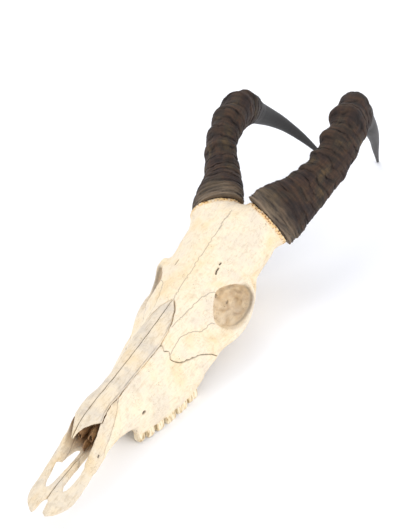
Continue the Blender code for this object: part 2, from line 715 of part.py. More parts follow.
def make_cranium(blank, parts, shapes):
    """What is left behind the maxillae, as one piece."""
    outline = REGION_FRONT + [(y + SEAM / 2, z) for y, z in reversed(MAXILLA_SEAM)]
    drop(blank, side_prism("face_region", outline, -REGION_HALF_WIDTH, REGION_HALF_WIDTH, shapes))
    keep_largest(blank)
    blank.name = "cranium"
    shapes.objects.unlink(blank)
    parts.objects.link(blank)


def main():
    clear(bpy.context.scene)
    parts = new_collection("hartebeest_skull")
    shapes = new_collection("shaping")
    blank = bone_blank(shapes)
    for cutter in both_sides(nasal_cutter(shapes), shapes) + both_sides(horn_base_cutter(shapes), shapes):
        drop(blank, cutter)
    make_side(blank, 1, "left", LEFT_HORN_PATH, LEFT_HORN_RINGS, parts, shapes)
    make_side(blank, -1, "right", RIGHT_HORN_PATH, RIGHT_HORN_RINGS, parts, shapes)
    make_cranium(blank, parts, shapes)
    clear(shapes)
    bone = material("dry_bone", BONE_COLOUR, BONE_ROUGHNESS)
    keratin = material("horn_keratin", HORN_COLOUR, HORN_ROUGHNESS)
    for thing in parts.objects:
        thing.data.materials.clear()
        thing.data.materials.append(keratin if thing.name.startswith("horn") else bone)
    print({thing.name: len(thing.data.polygons) for thing in parts.objects})


main()
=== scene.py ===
# %% [markdown]
# # A hartebeest skull on a pale floor
# The skull lies as it would on a museum table: on its worn cheek teeth and on the tips of both horns.
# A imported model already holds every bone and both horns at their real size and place.
# This lesson dresses that model: each bone is copied and refined until it looks like dry bone,
# the teeth and horns get their fine relief, and each surface gets a material made from nodes.

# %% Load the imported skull
import math
import random

import bmesh
import bpy
import numpy as np
from mathutils import Matrix, Vector, noise
from mathutils.kdtree import KDTree


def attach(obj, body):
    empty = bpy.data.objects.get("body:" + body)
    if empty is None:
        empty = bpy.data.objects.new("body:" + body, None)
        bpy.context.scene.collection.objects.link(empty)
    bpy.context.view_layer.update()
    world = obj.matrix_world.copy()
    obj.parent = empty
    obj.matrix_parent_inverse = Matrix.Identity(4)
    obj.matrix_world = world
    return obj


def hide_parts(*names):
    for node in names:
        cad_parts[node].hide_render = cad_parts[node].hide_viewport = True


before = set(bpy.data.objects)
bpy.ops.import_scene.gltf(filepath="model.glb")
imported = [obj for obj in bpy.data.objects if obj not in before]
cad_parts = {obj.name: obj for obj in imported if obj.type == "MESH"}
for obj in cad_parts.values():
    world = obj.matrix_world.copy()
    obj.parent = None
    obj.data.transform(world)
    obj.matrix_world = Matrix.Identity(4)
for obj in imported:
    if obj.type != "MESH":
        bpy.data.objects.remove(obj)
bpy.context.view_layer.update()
scene = bpy.context.scene

# %% [markdown]
# Bone is measured in millimetres, and Blender works in metres.
# Lengths along the skull are counted from just in front of the snout, as on a ruler laid beside it,
# so one small function turns such a place into the scene's own metres.

# %% Places and selections
MM = 0.001
RULER_MIDDLE = 395


def place(x, y, z):
    """x mm to the animal's left, y mm along the ruler, z mm over the floor, as a vector in metres."""
    return Vector((x, y - RULER_MIDDLE, z)) * MM


def only(thing):
    """Selects one object and makes it the active one, with everything else deselected."""
    bpy.ops.object.select_all(action="DESELECT")
    thing.select_set(True)
    bpy.context.view_layer.objects.active = thing


def apply_all(thing):
    """Applies the modifiers of a thing in their order."""
    only(thing)
    for modifier in list(thing.modifiers):
        bpy.ops.object.modifier_apply(modifier=modifier.name)


print("the ruler's middle lies at", tuple(place(0, RULER_MIDDLE, 0)))

# %% [markdown]
# The camera stands in front of the snout, to the animal's left and well above it.
# Its place and its turn were worked out from the lines of the skull in the photograph,
# and a lens of about 81 mm gives the same gentle perspective.

# %% Camera
CAMERA_PLACE = place(552, -583, 808)
CAMERA_YAW, CAMERA_PITCH, CAMERA_ROLL = (math.radians(angle) for angle in (30.4, 33.52, -5.79))
CAMERA_LENS = 80.74

ahead = Vector((-math.sin(CAMERA_YAW) * math.cos(CAMERA_PITCH),
                math.cos(CAMERA_YAW) * math.cos(CAMERA_PITCH), -math.sin(CAMERA_PITCH)))
level = Vector((math.cos(CAMERA_YAW), math.sin(CAMERA_YAW), 0))
upward = level.cross(ahead)
right = math.cos(CAMERA_ROLL) * level + math.sin(CAMERA_ROLL) * upward
upward = -math.sin(CAMERA_ROLL) * level + math.cos(CAMERA_ROLL) * upward
bpy.ops.object.camera_add(location=CAMERA_PLACE)
camera = bpy.context.object
camera.matrix_world = Matrix((
    (right.x, upward.x, -ahead.x, CAMERA_PLACE.x),
    (right.y, upward.y, -ahead.y, CAMERA_PLACE.y),
    (right.z, upward.z, -ahead.z, CAMERA_PLACE.z),
    (0, 0, 0, 1)))
camera.data.lens = CAMERA_LENS
camera.data.clip_start = 0.05
scene.camera = camera
print("camera looks", [round(value, 3) for value in ahead])

# %% [markdown]
# Every colour below is written as it would be picked on a screen, as an sRGB hex value.
# Shaders work with linear light, so one function turns the one into the other.
# A second one adds a node with its settings and links, so that each material reads as a short list.

# %% Colours and nodes


def linear(hex_colour, alpha=1.0):
    """An sRGB hex colour as the linear values that a shader takes."""
    values = [int(hex_colour[start:start + 2], 16) / 255 for start in (1, 3, 5)]
    return tuple(value / 12.92 if value <= 0.04045 else ((value + 0.055) / 1.055) ** 2.4
                 for value in values) + (alpha,)


def add_node(tree, kind, settings=None, **links):
    """Adds a node, gives it settings by name, and sets or links its inputs by name."""
    node = tree.nodes.new(kind)
    for name, value in (settings or {}).items():
        setattr(node, name, value)
    for name, value in links.items():
        key = name.replace("_", " ")
        socket = node.inputs[int(key[5:])] if key.startswith("input") else node.inputs[key]
        if isinstance(value, bpy.types.NodeSocket):
            tree.links.new(value, socket)
        else:
            socket.default_value = value
    return node


def new_material(name):
    """A material with an empty node tree but for its shader and output."""
    made = bpy.data.materials.new(name)
    made.use_nodes = True
    return made, made.node_tree, made.node_tree.nodes["Principled BSDF"]


def colour_steps(tree, factor, steps):
    """A colour ramp over a factor, with its steps given as (place, hex colour)."""
    ramp = add_node(tree, "ShaderNodeValToRGB", Fac=factor)
    elements = ramp.color_ramp.elements
    elements[0].position, elements[0].color = steps[0][0], linear(steps[0][1])
    elements[1].position, elements[1].color = steps[-1][0], linear(steps[-1][1])
    for position, hex_colour in steps[1:-1]:
        elements.new(position).color = linear(hex_colour)
    return ramp.outputs["Color"]


def blend_colours(tree, factor, first, second, way="MIX"):
    """Mixes two colours by a factor."""
    mix = add_node(tree, "ShaderNodeMix", {"data_type": "RGBA", "blend_type": way})
    for index, value in ((0, factor), (6, first), (7, second)):
        if isinstance(value, bpy.types.NodeSocket):
            tree.links.new(value, mix.inputs[index])
        else:
            mix.inputs[index].default_value = value
    return mix.outputs[2]


print("ivory in linear light:", [round(value, 3) for value in linear("#EFE3CB")[:3]])

# %% [markdown]
# Dry bone is a chalky ivory. Grease leaves warm yellow patches, and weather leaves cool grey ones.
# Up close it is full of tiny pores and short streaks that run along the face.
# Three attributes are painted on the meshes later on: one for dark lines (the line of a suture, and painted
# shade in openings, creases and gaps), rough (spongy bone, as under the horns, with painted shade in its small
# holes) and inside (the walls of the nose and eye sockets: brown stains, with painted shade deeper in and
# painted light at the lower front of each socket).

# %% Bone material
PORE_SIZE = 1.3 * MM
STREAK_SIZE = 2.2 * MM
PATCH_SIZE = 38 * MM
MOTTLE_SIZE = 7 * MM
PORE_FIELD = 14 * MM
SPECK_SPACING = 5.5 * MM
SPONGE_SIZE = 2.6 * MM
STAIN_SIZE = 9 * MM
BONE_ROUGHNESS = 0.62
BONE_IOR = 1.5


def bone_material(name, light, warm, cool, streak_strength=0.35):
    """Dry, chalky bone: no metal, the usual index of 1.5 and a high roughness."""
    made, tree, shader = new_material(name)
    spot = add_node(tree, "ShaderNodeTexCoord").outputs["Object"]
    patches = add_node(tree, "ShaderNodeTexNoise", Vector=spot, Scale=1 / PATCH_SIZE,
                       Detail=4.0, Roughness=0.6)
    colour = colour_steps(tree, patches.outputs["Fac"], [(0.3, warm), (0.48, light), (0.62, cool)])
    mottle = add_node(tree, "ShaderNodeTexNoise", Vector=spot, Scale=1 / MOTTLE_SIZE,
                      Detail=6.0, Roughness=0.7)
    mottle_colour = colour_steps(tree, mottle.outputs["Fac"],
                                 [(0.36, "#CBBFA9"), (0.5, "#FFFFFF"), (0.7, "#FFF3DC")])
    colour = blend_colours(tree, 0.3, colour, mottle_colour, "MULTIPLY")
    along = add_node(tree, "ShaderNodeMapping", Vector=spot, Scale=(1, 0.12, 1))
    streaks = add_node(tree, "ShaderNodeTexNoise", Vector=along.outputs[0], Scale=1 / STREAK_SIZE,
                       Detail=3.0, Roughness=0.65)
    streak_colour = colour_steps(tree, streaks.outputs["Fac"],
                                 [(0.25, "#D9CDB6"), (0.5, "#FFFFFF"), (0.8, "#FFF8E8")])
    colour = blend_colours(tree, streak_strength, colour, streak_colour, "MULTIPLY")
    pores = add_node(tree, "ShaderNodeTexVoronoi", Vector=spot, Scale=1 / PORE_SIZE, Randomness=1.0)
    where = add_node(tree, "ShaderNodeTexNoise", Vector=spot, Scale=1 / PORE_FIELD, Detail=2.0)
    sparse = add_node(tree, "ShaderNodeMapRange", Value=where.outputs["Fac"], From_Min=0.5, From_Max=0.68)
    pit = add_node(tree, "ShaderNodeMapRange", Value=pores.outputs["Distance"], From_Min=0.32, From_Max=0.12)
    pitted = add_node(tree, "ShaderNodeMath", {"operation": "MULTIPLY"}, input0=pit.outputs[0],
                      input1=sparse.outputs[0])
    # Painted shade: the tiny pores are darkened.
    colour = blend_colours(tree, pitted.outputs[0], colour, linear("#A48A62"))
    specks = add_node(tree, "ShaderNodeTexVoronoi", Vector=spot, Scale=1 / SPECK_SPACING, Randomness=1.0)
    speck = add_node(tree, "ShaderNodeMapRange", Value=specks.outputs["Distance"],
                     From_Min=0.13, From_Max=0.06)
    speckled = add_node(tree, "ShaderNodeMath", {"operation": "MULTIPLY"}, input0=speck.outputs[0],
                        input1=sparse.outputs[0])
    colour = blend_colours(tree, speckled.outputs[0], colour, linear("#7C6850"))
    rough = add_node(tree, "ShaderNodeAttribute", {"attribute_name": "rough"}).outputs["Fac"]
    holes = add_node(tree, "ShaderNodeTexVoronoi", Vector=spot, Scale=1 / SPONGE_SIZE, Randomness=1.0)
    # Torn spongy bone is brown; the darkest colour in its small holes is painted shade.
    spongy = colour_steps(tree, holes.outputs["Distance"],
                          [(0.08, "#4A2C1A"), (0.3, "#B07B43"), (0.6, "#E9C68C")])
    colour = blend_colours(tree, rough, colour, spongy)
    inside = add_node(tree, "ShaderNodeAttribute", {"attribute_name": "inside"}).outputs["Fac"]
    stains = add_node(tree, "ShaderNodeTexNoise", Vector=spot, Scale=1 / STAIN_SIZE,
                      Detail=5.0, Roughness=0.7)
    # The inside colour: brown stains, together with painted shade deep in the nose and eye sockets.
    stain_and_shade = colour_steps(tree, stains.outputs["Fac"],
                           [(0.35, "#5C3A1E"), (0.52, "#9C6F3F"), (0.68, "#CFA76C")])
    colour = blend_colours(tree, inside, colour, stain_and_shade)
    # Dark lines: the real colour of sutures, and also painted shade in openings, creases and gaps.
    seam_and_shade = add_node(tree, "ShaderNodeAttribute", {"attribute_name": "seam_and_shade"}).outputs["Fac"]
    colour = blend_colours(tree, seam_and_shade, colour, linear("#5B4F43"))
    tree.links.new(colour, shader.inputs["Base Color"])
    shader.inputs["Roughness"].default_value = BONE_ROUGHNESS
    shader.inputs["IOR"].default_value = BONE_IOR
    grain = add_node(tree, "ShaderNodeBump", Height=streaks.outputs["Fac"], Distance=0.25 * MM, Strength=0.35)
    depth = add_node(tree, "ShaderNodeMath", {"operation": "SUBTRACT"}, input0=0.0, input1=pitted.outputs[0])
    pore_bump = add_node(tree, "ShaderNodeBump", Height=depth.outputs[0], Distance=0.4 * MM, Strength=0.8,
                         Normal=grain.outputs[0])
    tree.links.new(pore_bump.outputs[0], shader.inputs["Normal"])
    return made


BONE = bone_material("dry_bone", "#EFE0C6", "#EBD4AC", "#E4D7C3", 0.5)
NASAL_BONE = bone_material("dry_nasal_bone", "#E4D6BF", "#E3CDA8", "#D3C8B8", 0.7)
print("materials so far:", BONE.name, NASAL_BONE.name)

# %% [markdown]
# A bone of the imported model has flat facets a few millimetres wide.
# A copy is merged, covered with an even skin by the Remesh modifier and relaxed by the Smooth modifier.
# Faces beside a suture stay where they are, or the thin gaps between the bones would grow.

# %% Copy and refine a bone
SUTURE_REACH = 0.9 * MM
CRANIUM_SKIN = 1.34 * MM
WEATHER_BIAS = 0.3
PREMAXILLA_SEAM = [(73, -10), (73, 33), (82, 35.5), (94, 40), (104, 44.5), (113, 50), (124, 57), (136, 64),
                   (147, 70), (147, 130)]
MAXILLA_SEAM = [(279, -10), (278, 30), (270, 38), (262, 42.5), (256, 45.3), (244, 47.6), (232.5, 50),
                (228, 53), (224.5, 58), (227.5, 62), (229, 64.5), (223.5, 67.5), (226, 72), (224, 78),
                (224, 130)]


def copy_of(node, name):
    """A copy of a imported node's mesh, with its loose triangles merged into one skin."""
    piece = bpy.data.objects.new(name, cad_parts[node].data.copy())
    scene.collection.objects.link(piece)
    only(piece)
    bpy.ops.object.mode_set(mode="EDIT")
    bpy.ops.mesh.select_all(action="SELECT")
    bpy.ops.mesh.remove_doubles(threshold=0.01 * MM)
    bpy.ops.object.mode_set(mode="OBJECT")
    bpy.ops.mesh.customdata_custom_splitnormals_clear()
    piece.data.materials.clear()
    return piece


def points_of(piece):
    """The places of all vertices of a piece as an array."""
    flat = np.empty(len(piece.data.vertices) * 3, np.float32)
    piece.data.vertices.foreach_get("co", flat)
    return flat.reshape(-1, 3).astype(float)


def normals_of(piece):
    """The outward directions at all vertices of a piece as an array."""
    flat = np.empty(len(piece.data.vertices) * 3, np.float32)
    piece.data.vertex_normals.foreach_get("vector", flat)
    return flat.reshape(-1, 3).astype(float)


def set_points(piece, places):
    """Moves all vertices of a piece to new places."""
    piece.data.vertices.foreach_set("co", places.astype(np.float32).ravel())
    piece.data.update()


def distance_to_path(places, path):
    """How far each place is from a line through the points of a path."""
    nearest = np.full(len(places), 1e9)
    for start, end in zip(path, path[1:]):
        start, run = np.array(start, float), np.array(end, float) - np.array(start, float)
        share = np.clip(((places - start) @ run) / max(run @ run, 1e-12), 0, 1)
        nearest = np.minimum(nearest, np.linalg.norm(places - start - share[:, None] * run, axis=1))
    return nearest


def seam_distance(places, paired):
    """How far each place is from one of the two seams seen from the side, or from the middle plane."""
    flat = places[:, 1:]
    nearest = np.abs(places[:, 0]) if paired else np.full(len(places), 1.0)
    for seam_and_shade in (PREMAXILLA_SEAM, MAXILLA_SEAM):
        line = [((y - RULER_MIDDLE) * MM, z * MM) for y, z in seam_and_shade]
        nearest = np.minimum(nearest, distance_to_path(flat, line))
    return nearest


def refine(piece, skin, rounds, paired=True):
    """Gives a piece an even skin and relaxes it, except along the seams."""
    cover = piece.modifiers.new("skin", "REMESH")
    cover.mode = "VOXEL"
    cover.voxel_size = skin
    apply_all(piece)
    group = piece.vertex_groups.new(name="relax")
    far = seam_distance(points_of(piece), paired) > SUTURE_REACH
    group.add([int(index) for index in np.flatnonzero(far)], 1.0, "REPLACE")
    soften = piece.modifiers.new("relax", "SMOOTH")
    soften.factor = 0.5
    soften.iterations = rounds
    soften.vertex_group = group.name
    apply_all(piece)
    piece.vertex_groups.clear()
    print(piece.name, "has", len(piece.data.polygons), "faces")
    return piece


def weather(piece, size, depth, seed):
    """Wears the surface down a little here and there, as rain and sun do."""
    places = points_of(piece)
    sunk_depth = np.array([noise.noise(Vector(spot) / size + Vector((seed, 0, 0))) for spot in places])
    set_points(piece, places - normals_of(piece) * (np.clip(sunk_depth + WEATHER_BIAS, 0, 1) * depth)[:, None])


cranium = refine(copy_of("cranium", "cranium_bone"), CRANIUM_SKIN, 10, paired=False)
weather(cranium, 13 * MM, 0.7 * MM, 3)

# %% [markdown]
# A suture is the wavy line where two bones have grown together. It is a fine groove, darker than the bone.
# The mesh is subdivided only along the line, so the groove can be under a millimetre wide,
# and the same distance to the line gives both the depth of the groove and its colour.

# %% Sutures on the cranium
SUTURE_STEP = 2.2 * MM
SUTURE_WANDER = 0.45
SUTURE_WIDTH = 0.45 * MM
SUTURE_DEPTH = 0.35 * MM
OPEN_SUTURE_START = 385
OPEN_SUTURE_WIDTH = 0.95 * MM
SUTURES = {
    "frontal": [(-1.2, 432, 113.6), (0.6, 420, 113), (-0.6, 409, 111), (0.5, 396, 109.5), (-0.4, 371, 105.7),
                (0.4, 358, 103.5), (-0.2, 346, 101.5), (0.5, 331, 98), (0, 317, 94.8), (-0.4, 300, 91),
                (0.3, 283, 88)],
    "fronto_lacrimal": [(34.4, 317, 82.5), (31, 314.5, 83.5), (28.3, 311.5, 84.6), (25.5, 305, 84.6),
                        (24.1, 301.5, 84.4), (21.7, 288.4, 82.7), (20.4, 280, 81.6), (18.4, 271, 80.4),
                        (16.6, 260, 79.6), (15.8, 250.4, 79.2)],
    "lacrimal_zygomatic": [(42.9, 293.3, 59.7), (40.6, 291, 61.8), (39, 287.9, 62.5), (37.8, 282, 60.6),
                           (36.6, 278.8, 60.6), (35.5, 275.1, 60.4), (32, 270.5, 63.4), (29.3, 264.6, 65.4),
                           (27.6, 259, 66.1), (25.6, 255.1, 67.7), (24.5, 245.8, 66.7), (24.4, 237, 64.7),
                           (24.8, 227.5, 61.8)],
}


def wavy(path, size, seed):
    """The same path with more points, each shifted a little to one side, as a suture wanders."""
    source = random.Random(seed)
    corners = [place(*corner) for corner in path]
    result = [corners[0]]
    for start, end in zip(corners, corners[1:]):
        steps = max(1, round((end - start).length / SUTURE_STEP))
        for step in range(1, steps + 1):
            shift = Vector(source.uniform(-size, size) for _ in range(3))
            result.append(start.lerp(end, step / steps) + shift * MM)
    return result


def snapped(piece, path):
    """The path laid on the nearest vertices of the piece."""
    places = points_of(piece)
    tree = KDTree(len(places))
    for index, spot in enumerate(places):
        tree.insert(spot, index)
    tree.balance()
    return [Vector(tree.find(corner)[0]) for corner in path]


def subdivide_near(piece, path, reach):
    """Cuts the faces near a path into smaller ones."""
    only(piece)
    near = distance_to_path(points_of(piece), path) < reach
    bpy.ops.object.mode_set(mode="EDIT")
    bpy.ops.mesh.select_all(action="DESELECT")
    bpy.ops.object.mode_set(mode="OBJECT")
    piece.data.vertices.foreach_set("select", near)
    for polygon in piece.data.polygons:
        polygon.select = all(near[index] for index in polygon.vertices)
    for edge in piece.data.edges:
        edge.select = bool(near[edge.vertices[0]] and near[edge.vertices[1]])
    bpy.ops.object.mode_set(mode="EDIT")
    bpy.ops.mesh.subdivide(number_cuts=1)
    bpy.ops.object.mode_set(mode="OBJECT")


def paint(piece, name, values):
    """Writes a value for each vertex that a material can read, or keeps the larger of old and new."""
    values = np.clip(values, 0, 1).astype(np.float32)
    layer = piece.data.attributes.get(name)
    if layer is None:
        layer = piece.data.attributes.new(name, "FLOAT", "POINT")
    else:
        old = np.empty(len(values), np.float32)
        layer.data.foreach_get("value", old)
        values = np.maximum(values, old)
    layer.data.foreach_set("value", values)


def groove(piece, path, width, depth, darkness):
    """Sinks a narrow groove along a path and darkens it."""
    places = points_of(piece)
    profile = np.exp(-(distance_to_path(places, path) / width) ** 2)
    set_points(piece, places - normals_of(piece) * (profile * depth)[:, None])
    paint(piece, "seam_and_shade", profile * darkness)


def mirror_path(path):
    """The same path on the other side of the skull."""
    return [Vector((-corner.x, corner.y, corner.z)) for corner in path]


paths = []
for seed, (name, corners) in enumerate(SUTURES.items()):
    path = snapped(cranium, wavy(corners, SUTURE_WANDER, seed))
    paths.append(path)
    if name != "frontal":
        paths.append(snapped(cranium, mirror_path(path)))
for path in paths:
    subdivide_near(cranium, path, 2.0 * MM)
for path in paths:
    groove(cranium, path, SUTURE_WIDTH, SUTURE_DEPTH, 0.6)
# The frontal suture has opened towards the horns, and the shade in that opening is painted there as a wider,
# broken dark line.
open_part = [corner for corner in paths[0] if corner.y > place(0, OPEN_SUTURE_START, 0).y]
away = distance_to_path(points_of(cranium), open_part) / OPEN_SUTURE_WIDTH
broken = np.array([0.5 + noise.noise(Vector(spot) / (2.6 * MM)) for spot in points_of(cranium)])
paint(cranium, "seam_and_shade", np.exp(-away ** 2) * np.clip(broken, 0, 1) * 0.8)
print("cranium faces after the sutures:", len(cranium.data.polygons))

# %% [markdown]
# Nerves and vessels leave the bone through small openings, and each is a pit with soft edges, darkened with
# painted shade.
# Above each eye socket there is a slit, and the bone around the horns is spongy and torn,
# because the skin and the horn grew on it there.
# The walls of the eye sockets hold brown stains, and they are marked for the material as well, with painted
# shade deeper in and in a crease inside the rim, and painted light at the lower front.

# %% Openings, eye sockets and torn rims
HORN_BASE = (33.5, 454.5, 92)
HORN_EDGE_AXIS = Vector((0.52, 0.72, 0.467)).normalized()
HORN_RIM_RADIUS = 33 * MM
TORN_REACH = 50 * MM
SPONGE_CELL = 1.9 * MM
SPONGE_DEPTH = 0.9 * MM
SOCKET_MIDDLE = place(50.5, 325, 66)
SOCKET_BOTTOM = place(19, 338, 54)
SOCKET_RADIUS = 31 * MM
SOCKET_REACH = 40 * MM
SOCKET_RELIEF = 3.2 * MM
SLITS = [[(24.9, 336.5, 92.4), (24.0, 340.5, 93.8), (24.4, 344.2, 94.8)],
         [(23.2, 349.2, 96), (23.5, 352.4, 96.7)],
         [(-26.4, 338, 92), (-26.1, 345, 94.4)]]
SOCKET_HOLES = [(24, 338, 58), (30, 345, 50)]
TEAR_PIT = [(46, 300, 62), (48.5, 299, 57)]


def pit(piece, path, width, depth, darkness):
    """An opening: the mesh is made finer there, pushed in with steep sides, and darkened with painted shade."""
    subdivide_near(piece, path, width * 2.5)
    places = points_of(piece)
    away = distance_to_path(places, path) / width
    profile = 1 / (1 + away ** 6)
    set_points(piece, places - normals_of(piece) * (profile * depth)[:, None])
    # Painted shade fills the opening.
    paint(piece, "seam_and_shade", profile * darkness)


def smooth_share(values, low, high):
    """0 below low, 1 above high and a soft rise between."""
    share = np.clip((values - low) / (high - low), 0, 1)
    return share * share * (3 - 2 * share)


def mark_sockets(piece):
    """Marks the walls of both eye sockets: brown stains, painted shade deeper in and in a crease inside the
    rim, and painted light at the lower front.
    """
    places, normals = points_of(piece), normals_of(piece)
    places[:, 0] = np.abs(places[:, 0])
    normals[:, 0] *= np.sign(points_of(piece)[:, 0])
    axis = (SOCKET_BOTTOM - SOCKET_MIDDLE).normalized()
    offset = places - np.array(SOCKET_MIDDLE)
    depth = offset @ np.array(axis)
    outward = offset - depth[:, None] * np.array(axis)
    reach = np.linalg.norm(outward, axis=1)
    facing = -(outward * normals).sum(1) / np.maximum(reach, 1e-6)
    wall = (reach < SOCKET_RADIUS) & (depth < SOCKET_REACH) & ((facing > 0.15) | (depth > 22 * MM))
    deep = smooth_share(depth, -3 * MM, 8 * MM)
    cloud = np.array([noise.noise(Vector(spot) / (6 * MM)) for spot in points_of(piece)])
    # The inside colour fades towards the lower front of each socket as painted light and grows with depth as
    # painted shade; the cloud adds real stains.
    low_front = smooth_share(-offset[:, 2] / MM - offset[:, 1] / MM * 0.4, -6, 16)
    paint(piece, "inside", wall * deep * np.clip(0.2 - 0.2 * low_front + 0.4 * cloud, 0, 0.5))
    # Painted shade: a dark crease just inside the rim, along its rear and lower part.
    edge = wall * np.exp(-((depth / MM - 3.5) / 2.2) ** 2)
    edge *= smooth_share(offset[:, 1] / MM - offset[:, 2] / MM, 4, 22)
    paint(piece, "seam_and_shade", edge * 0.55)
    broad_cloud = np.array([noise.noise(Vector(spot) / (13 * MM) + Vector((4, 0, 0)))
                            for spot in points_of(piece)])
    ridges = wall * smooth_share(depth, 4 * MM, 14 * MM)
    ridges = ridges * np.clip(cloud * 0.5 + broad_cloud * 1.6 + 0.3, 0, 1)
    set_points(piece, points_of(piece) - normals_of(piece) * (ridges * SOCKET_RELIEF)[:, None])


def tear_rims(piece):
    """Roughens the bone in front of both horns and paints shade as a dark gap right beside them."""
    places = points_of(piece)
    local = places * np.stack([np.sign(places[:, 0]), np.ones(len(places)), np.ones(len(places))], 1)
    ahead_of_horn = (np.array(place(*HORN_BASE)) - local) @ np.array(HORN_EDGE_AXIS)
    near = (np.linalg.norm(local - np.array(place(*HORN_BASE)), axis=1) < TORN_REACH) & (local[:, 1] > -20 * MM)
    ragged = np.array([noise.noise(Vector(spot) / (3.4 * MM)) for spot in places])
    torn = near * (1 - smooth_share(ahead_of_horn, 3.4 * MM, 7.5 * MM)) * smooth_share(ragged, -0.6, 0.15)
    paint(piece, "rough", torn)
    # Painted shade in the gap between the bone and the horn.
    paint(piece, "seam_and_shade", near * (1 - smooth_share(ahead_of_horn, 0.5 * MM, 1.5 * MM)) * 0.9)
    holes = np.abs([noise.cell(Vector(spot) / SPONGE_CELL) for spot in places])
    set_points(piece, places - normals_of(piece) * (torn * holes * SPONGE_DEPTH)[:, None])


for corners in SLITS:
    pit(cranium, [place(*corner) for corner in corners], 0.8 * MM, 2.2 * MM, 0.95)
for sign in (1, -1):
    pit(cranium, [place(sign * x, y, z) for x, y, z in TEAR_PIT], 1.1 * MM, 2.0 * MM, 0.8)
    for x, y, z in SOCKET_HOLES:
        hole = snapped(cranium, [place(sign * x, y, z)])[0]
        pit(cranium, [hole, hole + Vector((0, 2.5, 1.2)) * MM], 0.9 * MM, 2.0 * MM, 0.5)
for sign in (1, -1):
    # A ring of finer mesh along the horn's rim, where the bone is torn.
    base = place(sign * HORN_BASE[0], HORN_BASE[1], HORN_BASE[2])
    axis = Vector((sign * HORN_EDGE_AXIS.x, HORN_EDGE_AXIS.y, HORN_EDGE_AXIS.z))
    across = axis.cross(Vector((0, 0, 1))).normalized()
    rise = across.cross(axis)
    ring = [base - axis * 2.5 * MM + (across * math.cos(turn) + rise * math.sin(turn)) * HORN_RIM_RADIUS
            for turn in (2 * math.pi * k / 36 for k in range(37))]
    subdivide_near(cranium, ring, 8 * MM)
mark_sockets(cranium)
tear_rims(cranium)
print("cranium faces after the openings:", len(cranium.data.polygons))

# %% [markdown]
# The other bones are refined in the same way. The teeth were fused into each upper jaw,
# so the copy of the jaw is cut off just above them, and finer teeth take their place.

# %% Jaws, snout and nasal bones
GUM_HEIGHT = 9.0
JAW_SKIN = 1.0 * MM
THIN_BONE_SKIN = 0.7 * MM
ROOT_START, ROOT_SPACING = 162, 16.5
ROOT_RELIEF = 1.3 * MM
NASAL_GROOVE_WIDTH = 0.75 * MM
NASAL_GROOVE_DEPTH = 1.0 * MM


def cut_below(piece, height):
    """Removes what lies lower than a height and closes the cut."""
    only(piece)
    bpy.ops.object.mode_set(mode="EDIT")
    bpy.ops.mesh.select_all(action="SELECT")
    bpy.ops.mesh.bisect(plane_co=(0, 0, height * MM), plane_no=(0, 0, 1), use_fill=True, clear_inner=True)
    bpy.ops.object.mode_set(mode="OBJECT")


def swell_roots(piece):
    """The roots of the cheek teeth bulge through the thin outer wall of the jaw."""
    places, normals = points_of(piece), normals_of(piece)
    share = places[:, 1] / MM + RULER_MIDDLE
    ribs = 0.5 + 0.5 * np.cos(2 * np.pi * (share - ROOT_START) / ROOT_SPACING)
    height = smooth_share(places[:, 2], 7 * MM, 14 * MM) * (1 - smooth_share(places[:, 2], 18 * MM, 34 * MM))
    length = smooth_share(share, 148, 156) * (1 - smooth_share(share, 250, 262))
    sunk = (1 - ribs) * height * length * np.abs(normals[:, 0])
    set_points(piece, places - normals * (sunk * ROOT_RELIEF)[:, None])


def mark_nose(piece):
    """Marks the walls of the nose: brown stains, with painted shade that darkens them deeper inside."""
    places, normals = points_of(piece), normals_of(piece)
    along = places[:, 1] / MM + RULER_MIDDLE
    half = np.interp(along, NOSE_ALONG, NOSE_HALF) * MM
    ceiling = np.interp(along, NOSE_ALONG, NOSE_TOP) * MM
    within = (np.abs(places[:, 0]) < half + 3.2 * MM) & (places[:, 2] > 35 * MM) & (places[:, 2] < ceiling)
    inward = (-normals[:, 0] * np.sign(places[:, 0]) > -0.2) | (np.abs(places[:, 0]) < half)
    # Painted shade: darker the further back inside the nose.
    deep = smooth_share(along, 84, 112) * (along < 168)
    if piece.name.startswith("nasal"):
        inward = normals[:, 2] < -0.3
    paint(piece, "inside", within * inward * deep)


NOSE_ALONG = (38, 78, 96, 103, 110, 130, 162)
NOSE_HALF = (11, 13, 13, 12, 11.5, 12, 10)
NOSE_TOP = (90, 90, 90, 75.5, 72.5, 70.5, 65.5)
NERVE_HOLE = [(28.4, 160, 38.8), (29.2, 162.2, 39.1)]
SNOUT_HOLE = [(22.4, 84.3, 43.5), (22.4, 85.8, 44.2)]
NASAL_EDGE = [(15.3, 108, 67.2), (14.4, 116, 70.4), (13.5, 128, 72), (12.6, 146, 70), (12.1, 168, 70.3),
              (13, 190, 72), (14.4, 207, 74.3), (15.6, 224, 76.4), (15.2, 239, 79), (12.8, 256, 82.6),
              (8.6, 271, 85.8), (1.6, 283, 88.3)]
bones = {"cranium": cranium}
for side in ("left", "right"):
    sign = 1 if side == "left" else -1
    jaw = copy_of("maxilla_" + side, "maxilla_bone_" + side)
    cut_below(jaw, GUM_HEIGHT)
    bones["maxilla_" + side] = refine(jaw, JAW_SKIN, 8)
    swell_roots(jaw)
    pit(jaw, [place(sign * x, y, z) for x, y, z in NERVE_HOLE], 1.2 * MM, 2.8 * MM, 1.0)
    snout = copy_of("premaxilla_" + side, "premaxilla_bone_" + side)
    bones["premaxilla_" + side] = refine(snout, THIN_BONE_SKIN, 8)
    pit(snout, [place(sign * x, y, z) for x, y, z in SNOUT_HOLE], 0.7 * MM, 1.0 * MM, 0.9)
    nasal = copy_of("nasal_" + side, "nasal_bone_" + side)
    bones["nasal_" + side] = refine(nasal, THIN_BONE_SKIN, 8)
